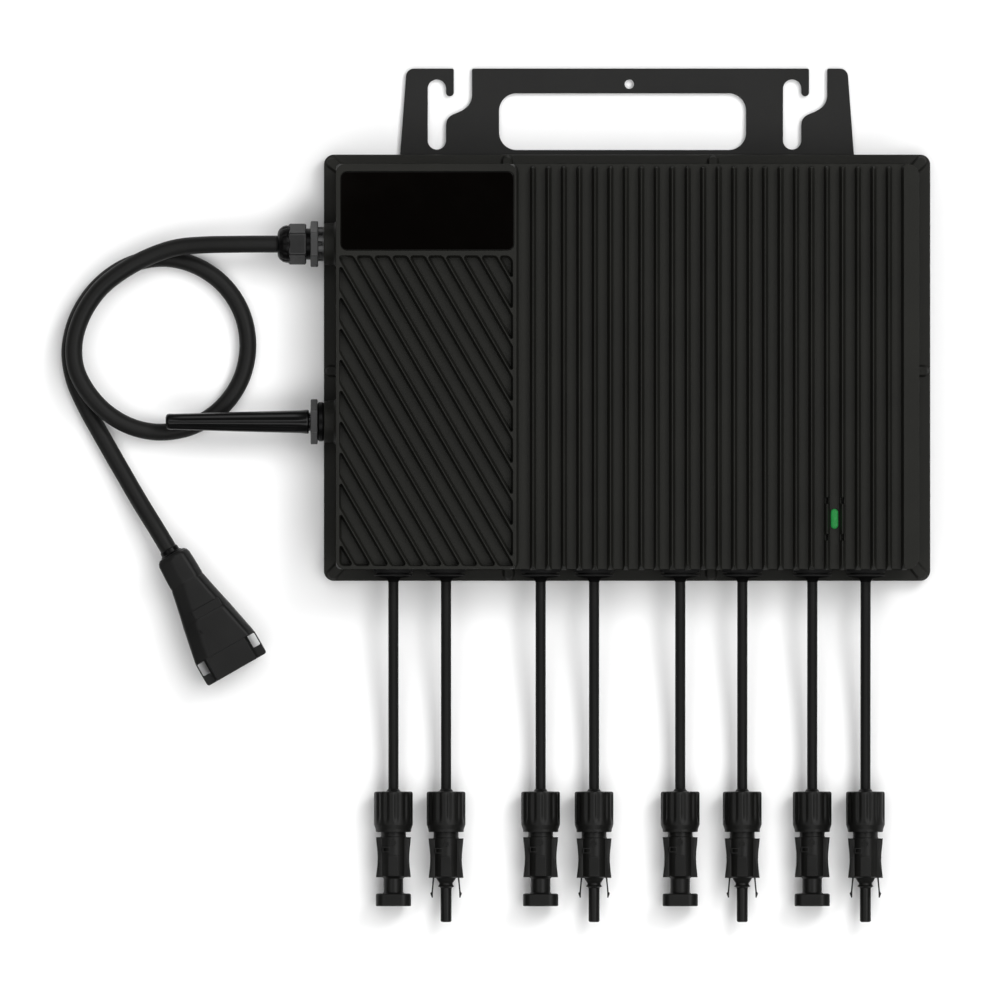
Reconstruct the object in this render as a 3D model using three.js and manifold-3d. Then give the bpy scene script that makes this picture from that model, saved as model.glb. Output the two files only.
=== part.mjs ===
// Micro inverter with eight DC leads, an AC lead and an antenna, lying on its back.
// Millimetres. The origin is the centre of the case's back face: +X to the right as the ribbed front is
// seen, +Y towards the hanging bracket, +Z out of the front. The lead connectors lie on the plane z = 0.

import * as THREE from "three";
import { ConvexGeometry } from "three/addons/geometries/ConvexGeometry.js";
import { mergeVertices } from "three/addons/utils/BufferGeometryUtils.js";
import Module from "manifold-3d";

const wasm = await Module();
wasm.setup();

// ---------------------------------------------------------------- driving dimensions

const GAP = 0.3; // left between pieces that touch
const SLIVER = 0.002; // edges shorter than this are cutting noise
const SIDES = 14; // facets round a turned piece

const CASE = { width: 303, height: 213, corner: 5 }; // the rim, which is the largest outline
const COVER_TOP = 4; // the back cover fills z = 0 to here
const GASKET = { bottom: 4.2, top: 5.0, band: 4.6 };
const RIM = { bottom: 5.2, top: 9 };
const BODY = { left: -145.3, right: 145.6, bottom: -100.6, top: 101.5, corner: 6 };
const WALL = 4;
const CEILING = 31.5; // inside face of the front wall
const FLOOR = 35; // the front wall's outer face, which the ribs stand on
const FRONT = 40; // top of the ribs, the frame and the right border

const SCREW_BOSS = { radius: 3.1, top: 11.2, reach: 4 }; // how far inside the wall a boss runs
const SCREW_PLACES = [
  [-147.5, 102.4], [147, 102.9], [-147, -103.1], [147, -103.1],
  [-60, 103.2], [43, 103.2], [-59.2, -103.1], [42, -103.1],
  [-148, -1.6], [148, -1.6],
];

const RIB = { foot: 2.3, crest: 1.1, sunk: 0.5 }; // widths, and how far a rib reaches into the floor
const UPRIGHT = { first: -47.05, pitch: 7.72, count: 24, top: 100.4 };
const BORDER = { left: 137.6, top: 100.4 }; // the raised strip along the right edge
const FRAME = { right: -55.3, corner: 4 }; // round the badge and the slanted ribs
const POCKETS = { left: -143.7, right: -57, bottom: -99.1, top: 55.9, corner: 1.5 };
const SLANTED = { pitch: 8.92, angle: 60, start: -65.0 };
const BADGE = { left: -143.2, right: -56.4, bottom: 58.8, top: 98.1, depth: 1.2, corner: 3 };

const LED = { x: 103.4, y: -75.5, width: 3.8, length: 10, proud: 1 };
const LED_GUARD = { low: -82.9, high: -68.1, gap: 3.5, floor: 1 }; // the ribs' part beside the light

const BRACKET = {
  thickness: 2.5, foot: 78, footHalf: 113.4, shoulder: 107, top: 149.6, topHalf: 110.5, corner: 4,
};
const HOOK_SHIFT = 177.6; // from the left hook slot to the right one
const HOOK_LEFT = -99.6;
const HAND_SLOT = { left: -63.95, right: 59.5, bottom: 108.9, top: 137.2, corner: 8.7 };
const HANG_HOLE = { x: 1.15, y: 141.8, diameter: 4.7 };

const BOARD = { left: -133, right: 133, y0: -84, y1: 88, low: 8.4, top: 10 };
const BOARD_POSTS = [[-128, 83], [0, 83], [128, 83], [-128, -79], [0, -79], [128, -79]];
const TRANSFORMER_X = [-98, -34, 34, 84];

// Places along the gland and the antenna are distances out to the left of the case's centre line.
const SIDE_BOSS = { diameter: 21, root: 141.5, end: 151.4 };
const AC_AXIS = { y: 61.7, z: 19 };
const AC_CABLE_DIAMETER = 8.8;
const GLAND = {
  hole: 16.6, thread: 16, threadStart: 135.5,
  flange: { diameter: 17, start: 151.7 },
  hex: { corners: 23.5, start: 154.3, end: 158.2 },
  neck: { diameter: 15.7, end: 160.2 },
  fingers: { diameter: 13.6, bore: 12.6, end: 169.5 },
  bore: 9.6, boreEnd: 161.3,
  locknut: { corners: 24, start: 137, end: 141 },
};
const GLAND_NUT = {
  corners: 21.6, round: 20.5, start: 160.2, shoulder: 168.5, end: 174.65,
  mouth: 9.7, thread: 16.6, threadEnd: 161.5, cavity: 14.4, cavityEnd: 170.6,
};
const GLAND_DOME = [[9.7, 168.5], [9.3, 171.5], [7, 174.2], [5.8, 174.65]]; // [radius, place]
const GLAND_SEAL = { inner: 9.5, outer: 11.9, start: 161.8, end: 170 };

const ANTENNA = {
  y: -27, z: 19, hole: 12.6,
  stud: { diameter: 12, start: 137 },
  washer: { diameter: 20.3, start: 151.7 },
  hex: { corners: 23.1, start: 154, end: 158.15 },
  pivot: { diameter: 8, start: 152, socket: 8.6, socketStart: 150 },
  root: { diameter: 12.2, start: 158.6, face: 159.25, end: 164 },
  tip: { diameter: 8.3, start: 228.5, end: 230.5, chamfer: 1.2 },
};

const DC_Z = 18.5; // height of the lead exits
const DC_X = [-116.75, -90.45, -43.2, -16.5, 26.55, 57.55, 92.5, 119.1];
const DC_CABLE_DIAMETER = 5.1;
const GROMMET = { diameter: 18.2, sleeve: 12, hole: 12.6, outer: -105.2 };

const CONNECTOR_Z = 9.8; // the connector nuts touch the ground
const NUT = { rear: -211.8, front: -232, radius: 9.7, bore: 6.4, cavity: 16 };

const PLUG = { x: -194.7, y: -150.8, z: 12.2, turn: 29.77 };

// ---------------------------------------------------------------- solids

// A closed BufferGeometry as a manifold solid.
function solid(geometry) {
  const bare = geometry.clone();
  bare.deleteAttribute("normal");
  bare.deleteAttribute("uv");
  const merged = mergeVertices(bare, 1e-4);
  return new wasm.Manifold(
    new wasm.Mesh({
      numProp: 3,
      vertProperties: merged.attributes.position.array,
      triVerts: new Uint32Array(merged.index.array),
    }),
  );
}

// A manifold solid as a BufferGeometry, with the slivers that cutting leaves on flat faces merged away.
function geometryOf(manifold) {
  const mesh = manifold.asOriginal().simplify(SLIVER).getMesh();
  return new THREE.BufferGeometry()
    .setAttribute("position", new THREE.BufferAttribute(new Float32Array(mesh.vertProperties), 3))
    .setIndex(new THREE.BufferAttribute(new Uint32Array(mesh.triVerts), 1));
}

const joined = (...solids) => solids.reduce((all, next) => all.add(next));
const without = (body, ...cuts) => body.subtract(joined(...cuts));

function block(x0, x1, y0, y1, z0, z1) {
  const box = new THREE.BoxGeometry(x1 - x0, y1 - y0, z1 - z0);
  box.translate((x0 + x1) / 2, (y0 + y1) / 2, (z0 + z1) / 2);
  return solid(box);
}

// A rectangle with round corners.
function roundedRect(x0, x1, y0, y1, r) {
  return new THREE.Shape()
    .moveTo(x0 + r, y0)
    .lineTo(x1 - r, y0)
    .absarc(x1 - r, y0 + r, r, -Math.PI / 2, 0)
    .lineTo(x1, y1 - r)
    .absarc(x1 - r, y1 - r, r, 0, Math.PI / 2)
    .lineTo(x0 + r, y1)
    .absarc(x0 + r, y1 - r, r, Math.PI / 2, Math.PI)
    .lineTo(x0, y0 + r)
    .absarc(x0 + r, y0 + r, r, Math.PI, Math.PI * 1.5);
}

function plate(shape, z0, z1, curveSegments = 2) {
  const slab = new THREE.ExtrudeGeometry(shape, { depth: z1 - z0, bevelEnabled: false, curveSegments });
  slab.translate(0, 0, z0);
  return solid(slab);
}

// A solid of revolution about the Y axis. Each profile point is [radius, y], in rising y.
function turned(profile, sides = SIDES) {
  const outline = profile.map(([radius, y]) => new THREE.Vector2(radius, y));
  return solid(new THREE.LatheGeometry(outline, sides));
}

function rod(radius, y0, y1, sides = SIDES) {
  return turned([[0, y0], [radius, y0], [radius, y1], [0, y1]], sides);
}

function ring(inner, outer, y0, y1, sides = SIDES) {
  return turned([[inner, y0], [outer, y0], [outer, y1], [inner, y1], [inner, y0]], sides);
}

// A hexagonal prism about the Y axis, with two corners up and down the Z axis.
function hexagon(acrossCorners, y0, y1) {
  return rod(acrossCorners / 2, y0, y1, 6);
}

// Turns a solid about the Y axis into one about the X axis, with its +Y end at -X, at the given place.
const alongMinusX = (body, y, z) => body.rotate([0, 0, 90]).translate([0, y, z]);

// A convex solid through the points of two or more flat sections.
const hull = (...sections) =>
  solid(new ConvexGeometry(sections.flat().map((p) => new THREE.Vector3(...p))));

// A round tube along a smooth curve through the points.
function tube(points, diameter, steps, sides) {
  const section = new THREE.Shape();
  for (let i = 0; i < sides; i++) {
    const turn = (2 * Math.PI * i) / sides;
    const x = (Math.cos(turn) * diameter) / 2;
    const y = (Math.sin(turn) * diameter) / 2;
    if (i === 0) section.moveTo(x, y);
    else section.lineTo(x, y);
  }
  const extrudePath = new THREE.CatmullRomCurve3(points.map((p) => new THREE.Vector3(...p)), false, "centripetal");
  return new THREE.ExtrudeGeometry(section, { steps, extrudePath, bevelEnabled: false });
}

// ---------------------------------------------------------------- materials and the assembly

const FINISH = {
  paint: { color: 0x2b2c2b, roughness: 0.55, metalness: 0.2 },
  plate: { color: 0x303130, roughness: 0.5, metalness: 0.3 },
  badge: { color: 0x050505, roughness: 0.15, metalness: 0 },
  lens: { color: 0x2f9a4a, roughness: 0.3, metalness: 0 },
  rubber: { color: 0x1c1c1c, roughness: 0.8, metalness: 0 },
  cable: { color: 0x212120, roughness: 0.6, metalness: 0 },
  plastic: { color: 0x242424, roughness: 0.5, metalness: 0 },
  nylon: { color: 0x39393a, roughness: 0.45, metalness: 0 },
  circuit: { color: 0x1d5a36, roughness: 0.5, metalness: 0 },
  ferrite: { color: 0x3a3a3c, roughness: 0.6, metalness: 0.2 },
  winding: { color: 0xb5652b, roughness: 0.35, metalness: 0.8 },
  relay: { color: 0x2a4f8f, roughness: 0.4, metalness: 0 },
};

const inverter = new THREE.Group();

function add(name, geometry, finish, group = inverter) {
  const mesh = new THREE.Mesh(geometry, new THREE.MeshStandardMaterial(FINISH[finish]));
  mesh.name = name;
  group.add(mesh);
  return mesh;
}

const caseOutline = roundedRect(
  -CASE.width / 2, CASE.width / 2, -CASE.height / 2, CASE.height / 2, CASE.corner);

// ---------------------------------------------------------------- front case

// A rib with sloping flanks, straight from one place on the front to another.
function rib(x0, y0, x1, y1) {
  const length = Math.hypot(x1 - x0, y1 - y0);
  const acrossX = (y1 - y0) / length;
  const acrossY = (x0 - x1) / length;
  const section = (width, z) => [
    [x0 - (acrossX * width) / 2, y0 - (acrossY * width) / 2, z],
    [x0 + (acrossX * width) / 2, y0 + (acrossY * width) / 2, z],
    [x1 + (acrossX * width) / 2, y1 + (acrossY * width) / 2, z],
    [x1 - (acrossX * width) / 2, y1 - (acrossY * width) / 2, z],
  ];
  return hull(section(RIB.foot, FLOOR - RIB.sunk), section(RIB.foot, FLOOR), section(RIB.crest, FRONT));
}

// The upright ribs. The two beside the light are notched down to a low ridge above and below it.
function uprightRibs() {
  const ribs = [];
  for (let i = 0; i < UPRIGHT.count; i++) {
    const x = UPRIGHT.first + UPRIGHT.pitch * i;
    ribs.push(rib(x, BODY.bottom, x, UPRIGHT.top));
  }
  const nearLight = (y) => block(
    LED.x - UPRIGHT.pitch, LED.x + UPRIGHT.pitch, y, y + LED_GUARD.gap, FLOOR + LED_GUARD.floor, FRONT + 1);
  return without(joined(...ribs), nearLight(LED_GUARD.low - LED_GUARD.gap), nearLight(LED_GUARD.high));
}

// The ribs that slant down to the right under the badge, clipped to the frame's opening.
function slantedRibs() {
  const p = POCKETS;
  const drop = p.top - p.bottom;
  const lean = drop / Math.tan(THREE.MathUtils.degToRad(SLANTED.angle));
  const ribs = [];
  for (let x = SLANTED.start; x > p.left - lean; x -= SLANTED.pitch) {
    ribs.push(rib(x, p.top, x + lean, p.bottom));
  }
  return joined(...ribs).intersect(block(p.left - 1, p.right + 1, p.bottom - 1, p.top + 1, 0, FRONT));
}

// The frame on the left, with the badge's seat and the slanted ribs in it.
function raisedFrame() {
  const p = POCKETS;
  const low = FLOOR - RIB.sunk;
  const frame = plate(
    roundedRect(BODY.left, FRAME.right, BODY.bottom, BODY.top, FRAME.corner), low, FRONT);
  const opening = plate(roundedRect(p.left, p.right, p.bottom, p.top, p.corner), low - 1, FRONT + 1);
  const seat = plate(
    roundedRect(BADGE.left, BADGE.right, BADGE.bottom, BADGE.top, BADGE.corner),
    FRONT - BADGE.depth, FRONT + 1);
  return joined(without(frame, opening, seat), slantedRibs());
}

// A screw's boss on the rim: round outside, with straight sides that run in under the wall.
function screwBoss([x, y]) {
  const reach = SCREW_BOSS.reach;
  const innerX = THREE.MathUtils.clamp(x, BODY.left + reach, BODY.right - reach);
  const innerY = THREE.MathUtils.clamp(y, BODY.bottom + reach, BODY.top - reach);
  const turn = Math.atan2(innerY - y, innerX - x) + Math.PI / 2;
  const outline = new THREE.Shape()
    .absarc(x, y, SCREW_BOSS.radius, turn, turn + Math.PI)
    .absarc(innerX, innerY, SCREW_BOSS.radius, turn + Math.PI, turn + Math.PI * 2);
  return plate(outline, RIM.bottom, SCREW_BOSS.top, 4);
}

function frontCase() {
  const rim = plate(caseOutline, RIM.bottom, RIM.top);
  const shell = plate(
    roundedRect(BODY.left, BODY.right, BODY.bottom, BODY.top, BODY.corner), RIM.bottom, FLOOR);
  const inside = plate(
    roundedRect(BODY.left + WALL, BODY.right - WALL, BODY.bottom + WALL, BODY.top - WALL, BODY.corner - 2),
    RIM.bottom - 1, CEILING);
  const sideBoss = rod(SIDE_BOSS.diameter / 2, SIDE_BOSS.root, SIDE_BOSS.end);
  const glandBoss = alongMinusX(sideBoss, AC_AXIS.y, AC_AXIS.z);
  const antennaBoss = alongMinusX(sideBoss, ANTENNA.y, ANTENNA.z);
  const posts = BOARD_POSTS.map(([x, y]) =>
    rod(3.5, 0, CEILING - BOARD.top - GAP + 1, 8).rotate([90, 0, 0]).translate([x, y, BOARD.top + GAP]));

  const border = block(BORDER.left, BODY.right, BODY.bottom, BORDER.top, FLOOR - RIB.sunk, FRONT);
  const relief = joined(uprightRibs(), raisedFrame(), border)
    .intersect(plate(roundedRect(BODY.left, BODY.right, BODY.bottom, BODY.top, BODY.corner), 0, FRONT));
  const lightHole = plate(
    roundedRect(
      LED.x - LED.width / 2 - GAP, LED.x + LED.width / 2 + GAP,
      LED.y - LED.length / 2 - GAP, LED.y + LED.length / 2 + GAP, LED.width / 2),
    CEILING - 1, FRONT + 1);
  const glandHole = alongMinusX(rod(GLAND.hole / 2, 138, 155), AC_AXIS.y, AC_AXIS.z);
  const antennaHole = alongMinusX(rod(ANTENNA.hole / 2, 138, 155), ANTENNA.y, ANTENNA.z);
  const leadHoles = DC_X.map((x) =>
    rod(GROMMET.hole / 2, BODY.bottom - 5, BODY.bottom + 10, 12).translate([x, 0, DC_Z]));

  const outside = joined(rim, shell, relief, glandBoss, antennaBoss, ...SCREW_PLACES.map(screwBoss));
  const hollow = joined(without(outside, inside), ...posts);
  return geometryOf(without(hollow, lightHole, glandHole, antennaHole, ...leadHoles));
}

// ---------------------------------------------------------------- back, gasket, bracket

function bracketOutline() {
  const b = BRACKET;
  const r = b.corner;
  return new THREE.Shape()
    .moveTo(-b.footHalf, b.foot)
    .lineTo(b.footHalf, b.foot)
    .lineTo(b.footHalf, b.shoulder)
    .lineTo(b.topHalf, b.top - r)
    .absarc(b.topHalf - r, b.top - r, r, 0, Math.PI / 2)
    .lineTo(-b.topHalf + r, b.top)
    .absarc(-b.topHalf + r, b.top - r, r, Math.PI / 2, Math.PI)
    .lineTo(-b.footHalf, b.shoulder);
}

// One hook slot: the bolt enters from the top edge, passes under the rounded tip and rises in the slot.
function hookSlot(left) {
  const x = (fromLeft) => left + fromLeft;
  const r = 4.55;
  return new THREE.Shape()
    .moveTo(x(0), 109.1 + r)
    .absarc(x(r), 109.1 + r, r, Math.PI, Math.PI * 2)
    .lineTo(x(9.1), 121.2)
    .quadraticCurveTo(x(9.6), 124.8, x(13.85), 127.2)
    .bezierCurveTo(x(18.5), 129.0, x(22.1), 131.0, x(22.1), 136.9)
    .lineTo(x(22.1), 151)
    .lineTo(x(13.0), 151)
    .lineTo(x(13.0), 137.7)
    .absarc(x(11.05), 137.7, 1.95, 0, -Math.PI, true)
    .lineTo(x(9.1), 139.6)
    .absarc(x(r), 139.6, r, 0, Math.PI);
}

function bracket() {
  const t = BRACKET.thickness;
  const hole = rod(HANG_HOLE.diameter / 2, -1, t + 1, 10).rotate([90, 0, 0]);
  const slot = HAND_SLOT;
  return geometryOf(
    without(
      plate(bracketOutline(), 0, t),
      plate(hookSlot(HOOK_LEFT), -1, t + 1, 3),
      plate(hookSlot(HOOK_LEFT + HOOK_SHIFT), -1, t + 1, 3),
      plate(roundedRect(slot.left, slot.right, slot.bottom, slot.top, slot.corner), -1, t + 1, 3),
      hole.translate([HANG_HOLE.x, HANG_HOLE.y, 0]),
    ),
  );
}

function backCover() {
  const recess = block(
    -BRACKET.footHalf - GAP, BRACKET.footHalf + GAP,
    BRACKET.foot - GAP, CASE.height, -1, BRACKET.thickness + GAP);
  return geometryOf(without(plate(caseOutline, 0, COVER_TOP), recess));
}

function gasket() {
  const x = CASE.width / 2 - 1.2;
  const y = CASE.height / 2 - 1.2;
  const band = GASKET.band;
  return geometryOf(
    without(
      plate(roundedRect(-x, x, -y, y, CASE.corner - 1), GASKET.bottom, GASKET.top),
      plate(roundedRect(-x + band, x - band, -y + band, y - band, 2), 0, 10),
    ),
  );
}

add("front_case", frontCase(), "paint");
add("back_cover", backCover(), "paint");
add("case_gasket", gasket(), "rubber");
add("mounting_bracket", bracket(), "plate");

// ---------------------------------------------------------------- badge and status light

const badgePanel = plate(
  roundedRect(
    BADGE.left + GAP, BADGE.right - GAP, BADGE.bottom + GAP, BADGE.top - GAP, BADGE.corner - GAP),
  FRONT - BADGE.depth + 0.1, FRONT - 0.2);
add("badge_panel", geometryOf(badgePanel), "badge");

// The light's window is the end of a clear pipe that reaches down to the board.
const pill = plate(
  roundedRect(
    LED.x - LED.width / 2, LED.x + LED.width / 2,
    LED.y - LED.length / 2, LED.y + LED.length / 2, LED.width / 2 - 0.05),
  CEILING - 2, FLOOR + LED.proud);
const pipe = rod(1.5, 0, CEILING - BOARD.top - 1.7, 10)
  .rotate([90, 0, 0])
  .translate([LED.x, LED.y, BOARD.top + GAP]);
add("led_lens", geometryOf(pill.add(pipe)), "lens");

// ---------------------------------------------------------------- inside

add("main_board", geometryOf(block(BOARD.left, BOARD.right, BOARD.y0, BOARD.y1, BOARD.low, BOARD.top)), "circuit");

const PARTS_Z = BOARD.top + GAP;

// A flat ferrite transformer: a core round the middle of a wider winding.
function transformer() {
  const winding = block(-19, 19, -10, 10, PARTS_Z + 3, PARTS_Z + 13);
  const core = block(-11, 11, -17, 17, PARTS_Z, PARTS_Z + 17);
  return core.add(winding);
}

TRANSFORMER_X.forEach((x, i) =>
  add("transformer_" + (i + 1), geometryOf(transformer().translate([x, -46, 0])), "ferrite"));

// A film capacitor block with its edges off.
const capacitorSection = (z, inset) => [
  [-16 + inset, -11 + inset, z], [16 - inset, -11 + inset, z],
  [16 - inset, 11 - inset, z], [-16 + inset, 11 - inset, z],
];
const capacitor = hull(
  capacitorSection(PARTS_Z, 0), capacitorSection(PARTS_Z + 17, 0), capacitorSection(PARTS_Z + 18, 1));
add("bus_capacitor", geometryOf(capacitor.translate([40, 20, 0])), "ferrite");

const choke = ring(6, 14, PARTS_Z, PARTS_Z + 12, 20).rotate([90, 0, 0]);
add("output_choke", geometryOf(choke.translate([-30, 40, 0])), "winding");
add("grid_relay", geometryOf(block(-112, -92, 44, 58, PARTS_Z, PARTS_Z + 16)), "relay");
add("radio_board", geometryOf(block(-128, -104, -12, 6, PARTS_Z + 2, PARTS_Z + 3.4)), "circuit");

// ---------------------------------------------------------------- AC gland

const glandBody = without(
  joined(
    rod(GLAND.thread / 2, GLAND.threadStart, GLAND.flange.start + 1),
    rod(GLAND.flange.diameter / 2, GLAND.flange.start, GLAND.hex.start + 1),
    hexagon(GLAND.hex.corners, GLAND.hex.start, GLAND.hex.end),
    rod(GLAND.neck.diameter / 2, GLAND.hex.end - 1, GLAND.neck.end - GAP),
    rod(GLAND.fingers.diameter / 2, GLAND.neck.end - 1, GLAND.fingers.end),
  ),
  rod(GLAND.bore / 2, GLAND.threadStart - 1, GLAND.boreEnd),
  rod(GLAND.fingers.bore / 2, GLAND.boreEnd - 0.1, GLAND.fingers.end + 1),
);
const glandSeal = ring(GLAND_SEAL.inner / 2, GLAND_SEAL.outer / 2, GLAND_SEAL.start, GLAND_SEAL.end);
const glandNut = without(
  joined(
    hexagon(GLAND_NUT.corners, GLAND_NUT.start, GLAND_NUT.shoulder + 0.1)
      .intersect(rod(GLAND_NUT.round / 2, GLAND_NUT.start - 1, GLAND_NUT.end)),
    turned([[0, GLAND_NUT.shoulder], ...GLAND_DOME, [0, GLAND_NUT.end]]),
  ),
  rod(GLAND_NUT.mouth / 2, GLAND_NUT.start, GLAND_NUT.end + 1),
  rod(GLAND_NUT.cavity / 2, GLAND_NUT.start - 1, GLAND_NUT.cavityEnd),
  rod(GLAND_NUT.thread / 2, GLAND_NUT.start - 1, GLAND_NUT.threadEnd),
);
const glandLocknut = without(
  hexagon(GLAND.locknut.corners, GLAND.locknut.start, GLAND.locknut.end),
  rod(GLAND.hole / 2, GLAND.locknut.start - 1, GLAND.locknut.end + 1),
);

add("ac_gland_body", geometryOf(alongMinusX(glandBody, AC_AXIS.y, AC_AXIS.z)), "nylon");
add("ac_gland_seal", geometryOf(alongMinusX(glandSeal, AC_AXIS.y, AC_AXIS.z)), "rubber");
add("ac_gland_nut", geometryOf(alongMinusX(glandNut, AC_AXIS.y, AC_AXIS.z)), "nylon");
add("ac_gland_locknut", geometryOf(alongMinusX(glandLocknut, AC_AXIS.y, AC_AXIS.z)), "nylon");

// ---------------------------------------------------------------- antenna

const antennaBase = without(
  joined(
    rod(ANTENNA.stud.diameter / 2, ANTENNA.stud.start, ANTENNA.washer.start + 0.3),
    rod(ANTENNA.washer.diameter / 2, ANTENNA.washer.start, ANTENNA.hex.start),
    hexagon(ANTENNA.hex.corners, ANTENNA.hex.start - 0.1, ANTENNA.hex.end),
  ),
  rod(ANTENNA.pivot.socket / 2, ANTENNA.pivot.socketStart, ANTENNA.hex.end + 1),
);
const mast = turned([
  [0, ANTENNA.pivot.start],
  [ANTENNA.pivot.diameter / 2, ANTENNA.pivot.start],
  [ANTENNA.pivot.diameter / 2, ANTENNA.root.start],
  [ANTENNA.root.diameter / 2, ANTENNA.root.face],
  [ANTENNA.root.diameter / 2, ANTENNA.root.end],
  [ANTENNA.tip.diameter / 2, ANTENNA.tip.start],
  [ANTENNA.tip.diameter / 2 - ANTENNA.tip.chamfer, ANTENNA.tip.end],
  [0, ANTENNA.tip.end],
]);
add("antenna_base", geometryOf(alongMinusX(antennaBase, ANTENNA.y, ANTENNA.z)), "nylon");
add("antenna_rod", geometryOf(alongMinusX(mast, ANTENNA.y, ANTENNA.z)), "rubber");

// ---------------------------------------------------------------- DC leads

// Offsets of a lead's centre line: [y, z]. It leaves the case level and comes down to the ground.
const DC_ROUTE = [
  [-92.5, 18.5], [-99, 18.5], [-105.2, 18.5], [-112, 18.4], [-120, 18.0], [-129, 17.1], [-139, 15.8],
  [-150, 14.2], [-161, 12.6], [-171, 11.4], [-181, 10.5], [-190, 10.0], [-199, 9.8], [-208, 9.8], [-216.4, 9.8],
];

// Two leads share one moulded grommet: a bar inside the case, and a sleeve and a ribbed collar for each.
function grommet(x0, x1) {
  const wall = BODY.bottom;
  const sleeve = turned([
    [0, GROMMET.outer], [7.4, GROMMET.outer], [9.1, GROMMET.outer + 1.2], [9.1, wall - GAP],
    [GROMMET.sleeve / 2, wall - GAP], [GROMMET.sleeve / 2, wall + WALL + 1], [0, wall + WALL + 1],
  ], 12);
  const bore = rod(DC_CABLE_DIAMETER / 2 + 0.5, GROMMET.outer - 1, wall + WALL + 8, 8);
  const bar = block(x0 - 9, x1 + 9, wall + WALL + GAP, wall + WALL + 3.3, DC_Z - 7.5, DC_Z + 7.5);
  const places = [x0, x1];
  const sleeves = places.map((x) => sleeve.translate([x, 0, DC_Z]));
  return without(joined(bar, ...sleeves), ...places.map((x) => bore.translate([x, 0, DC_Z])));
}

// The union nut: a bore for the lead and a cavity for the housing's thread.
function connectorNut() {
  return turned([
    [NUT.cavity / 2, NUT.front], [8.9, NUT.front], [NUT.radius, NUT.front + 3.4], [NUT.radius, NUT.rear],
    [NUT.bore / 2, NUT.rear], [NUT.bore / 2, NUT.rear - 3.4], [NUT.cavity / 2, NUT.rear - 3.4],
    [NUT.cavity / 2, NUT.front],
  ]);
}

// The finger grips at both sides of a housing, waisted between their ends.
function grips(rear, front, halfWidth, waist) {
  const middle = (rear + front) / 2;
  const outline = new THREE.Shape()
    .moveTo(-halfWidth, rear)
    .quadraticCurveTo(-waist, middle, -halfWidth, front)
    .lineTo(halfWidth, front)
    .quadraticCurveTo(waist, middle, halfWidth, rear);
  return plate(outline, -3.4, 3.4, 4);
}

const THREAD = { radius: 7.4, rear: -217, front: -231 };
const NECK_RADIUS = 6.35;
const rearBore = rod(DC_CABLE_DIAMETER / 2 + 0.5, -218.5, -216, 8);

// The socket housing: a round mouth in a wide flange that the plug housing's latches hook behind.
function socketHousing() {
  const core = turned([
    [0, -263], [4.9, -263], [4.9, -254.6], [6.5, -254.6], [6.5, -234.5], [NECK_RADIUS, -234.5],
    [NECK_RADIUS, THREAD.front], [THREAD.radius, THREAD.front], [THREAD.radius, THREAD.rear], [0, THREAD.rear],
  ], 12);
  const flange = plate(roundedRect(-8.85, 8.85, -8, 8, 5), 262.6, 269).rotate([90, 0, 0]);
  return without(
    joined(core, grips(-234.6, -254.5, 8.8, 7.1), flange),
    rearBore,
    rod(6.5 / 2, -270, -245, 10));
}

const LATCH = { x: 6.1, root: -251.6, tip: -264.9, thick: 1.2, half: 2.1, lean: 1.0 };

// The plug housing: a hollow probe behind a collar, and a pocket at each side for a latch arm.
function plugHousing() {
  const core = turned([
    [0, -277], [2.8, -277], [2.8, -260.2], [4.6, -259.2], [3.4, -257.8], [4.75, -255.6], [4.75, -255],
    [6.5, -255], [6.5, -235.1], [NECK_RADIUS, -235.1],
    [NECK_RADIUS, THREAD.front], [THREAD.radius, THREAD.front], [THREAD.radius, THREAD.rear], [0, THREAD.rear],
  ], 12);
  const outside = core.add(grips(-235.2, -254.9, 8.8, 7.1));
  const pocket = (side) => {
    const inner = 4.9 * side;
    const outer = 7.5 * side;
    return block(Math.min(inner, outer), Math.max(inner, outer), -256, -250.4, -2.6, 2.6);
  };
  return without(outside, pocket(-1), pocket(1), rearBore, rod(1.6, -278, -266, 6));
}

// A latch arm: a thin blade that leans outwards to a barbed tip.
function latchArm(side) {
  const arm = LATCH;
  const outline = new THREE.Shape()
    .moveTo(side * (arm.x - arm.thick / 2), arm.root + 0.6)
    .lineTo(side * (arm.x + arm.thick / 2), arm.root + 0.6)
    .lineTo(side * (arm.x + arm.thick / 2), -254.6)
    .lineTo(side * (arm.x + arm.lean + 0.4), arm.tip + 3)
    .lineTo(side * (arm.x + arm.lean + 1.3), arm.tip + 2.2)
    .lineTo(side * (arm.x + arm.lean + 0.2), arm.tip)
    .lineTo(side * (arm.x + arm.lean - 0.7), arm.tip + 0.2)
    .lineTo(side * (arm.x - arm.thick / 2), -254.8);
  return plate(outline, -arm.half, arm.half);
}

const nut = geometryOf(connectorNut());
const socket = geometryOf(socketHousing());
const probe = geometryOf(plugHousing());
const arms = { left: geometryOf(latchArm(-1)), right: geometryOf(latchArm(1)) };

for (let pair = 0; pair < 4; pair++) {
  const [x0, x1] = DC_X.slice(2 * pair, 2 * pair + 2);
  add("dc_grommet_" + (pair + 1), geometryOf(grommet(x0, x1)), "rubber");
}

DC_X.forEach((x, i) => {
  const number = i + 1;
  add("dc_cable_" + number, tube(DC_ROUTE.map(([y, z]) => [x, y, z]), DC_CABLE_DIAMETER, 10, 8), "cable");
  const connector = new THREE.Group();
  connector.position.set(x, 0, CONNECTOR_Z);
  inverter.add(connector);
  add("dc_nut_" + number, nut, "plastic", connector);
  if (i % 2 === 0) {
    add("dc_socket_" + number, socket, "plastic", connector);
  } else {
    add("dc_plug_" + number, probe, "plastic", connector);
    add("dc_latch_" + number + "_left", arms.left, "plastic", connector);
    add("dc_latch_" + number + "_right", arms.right, "plastic", connector);
  }
});

// ---------------------------------------------------------------- AC lead

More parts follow.
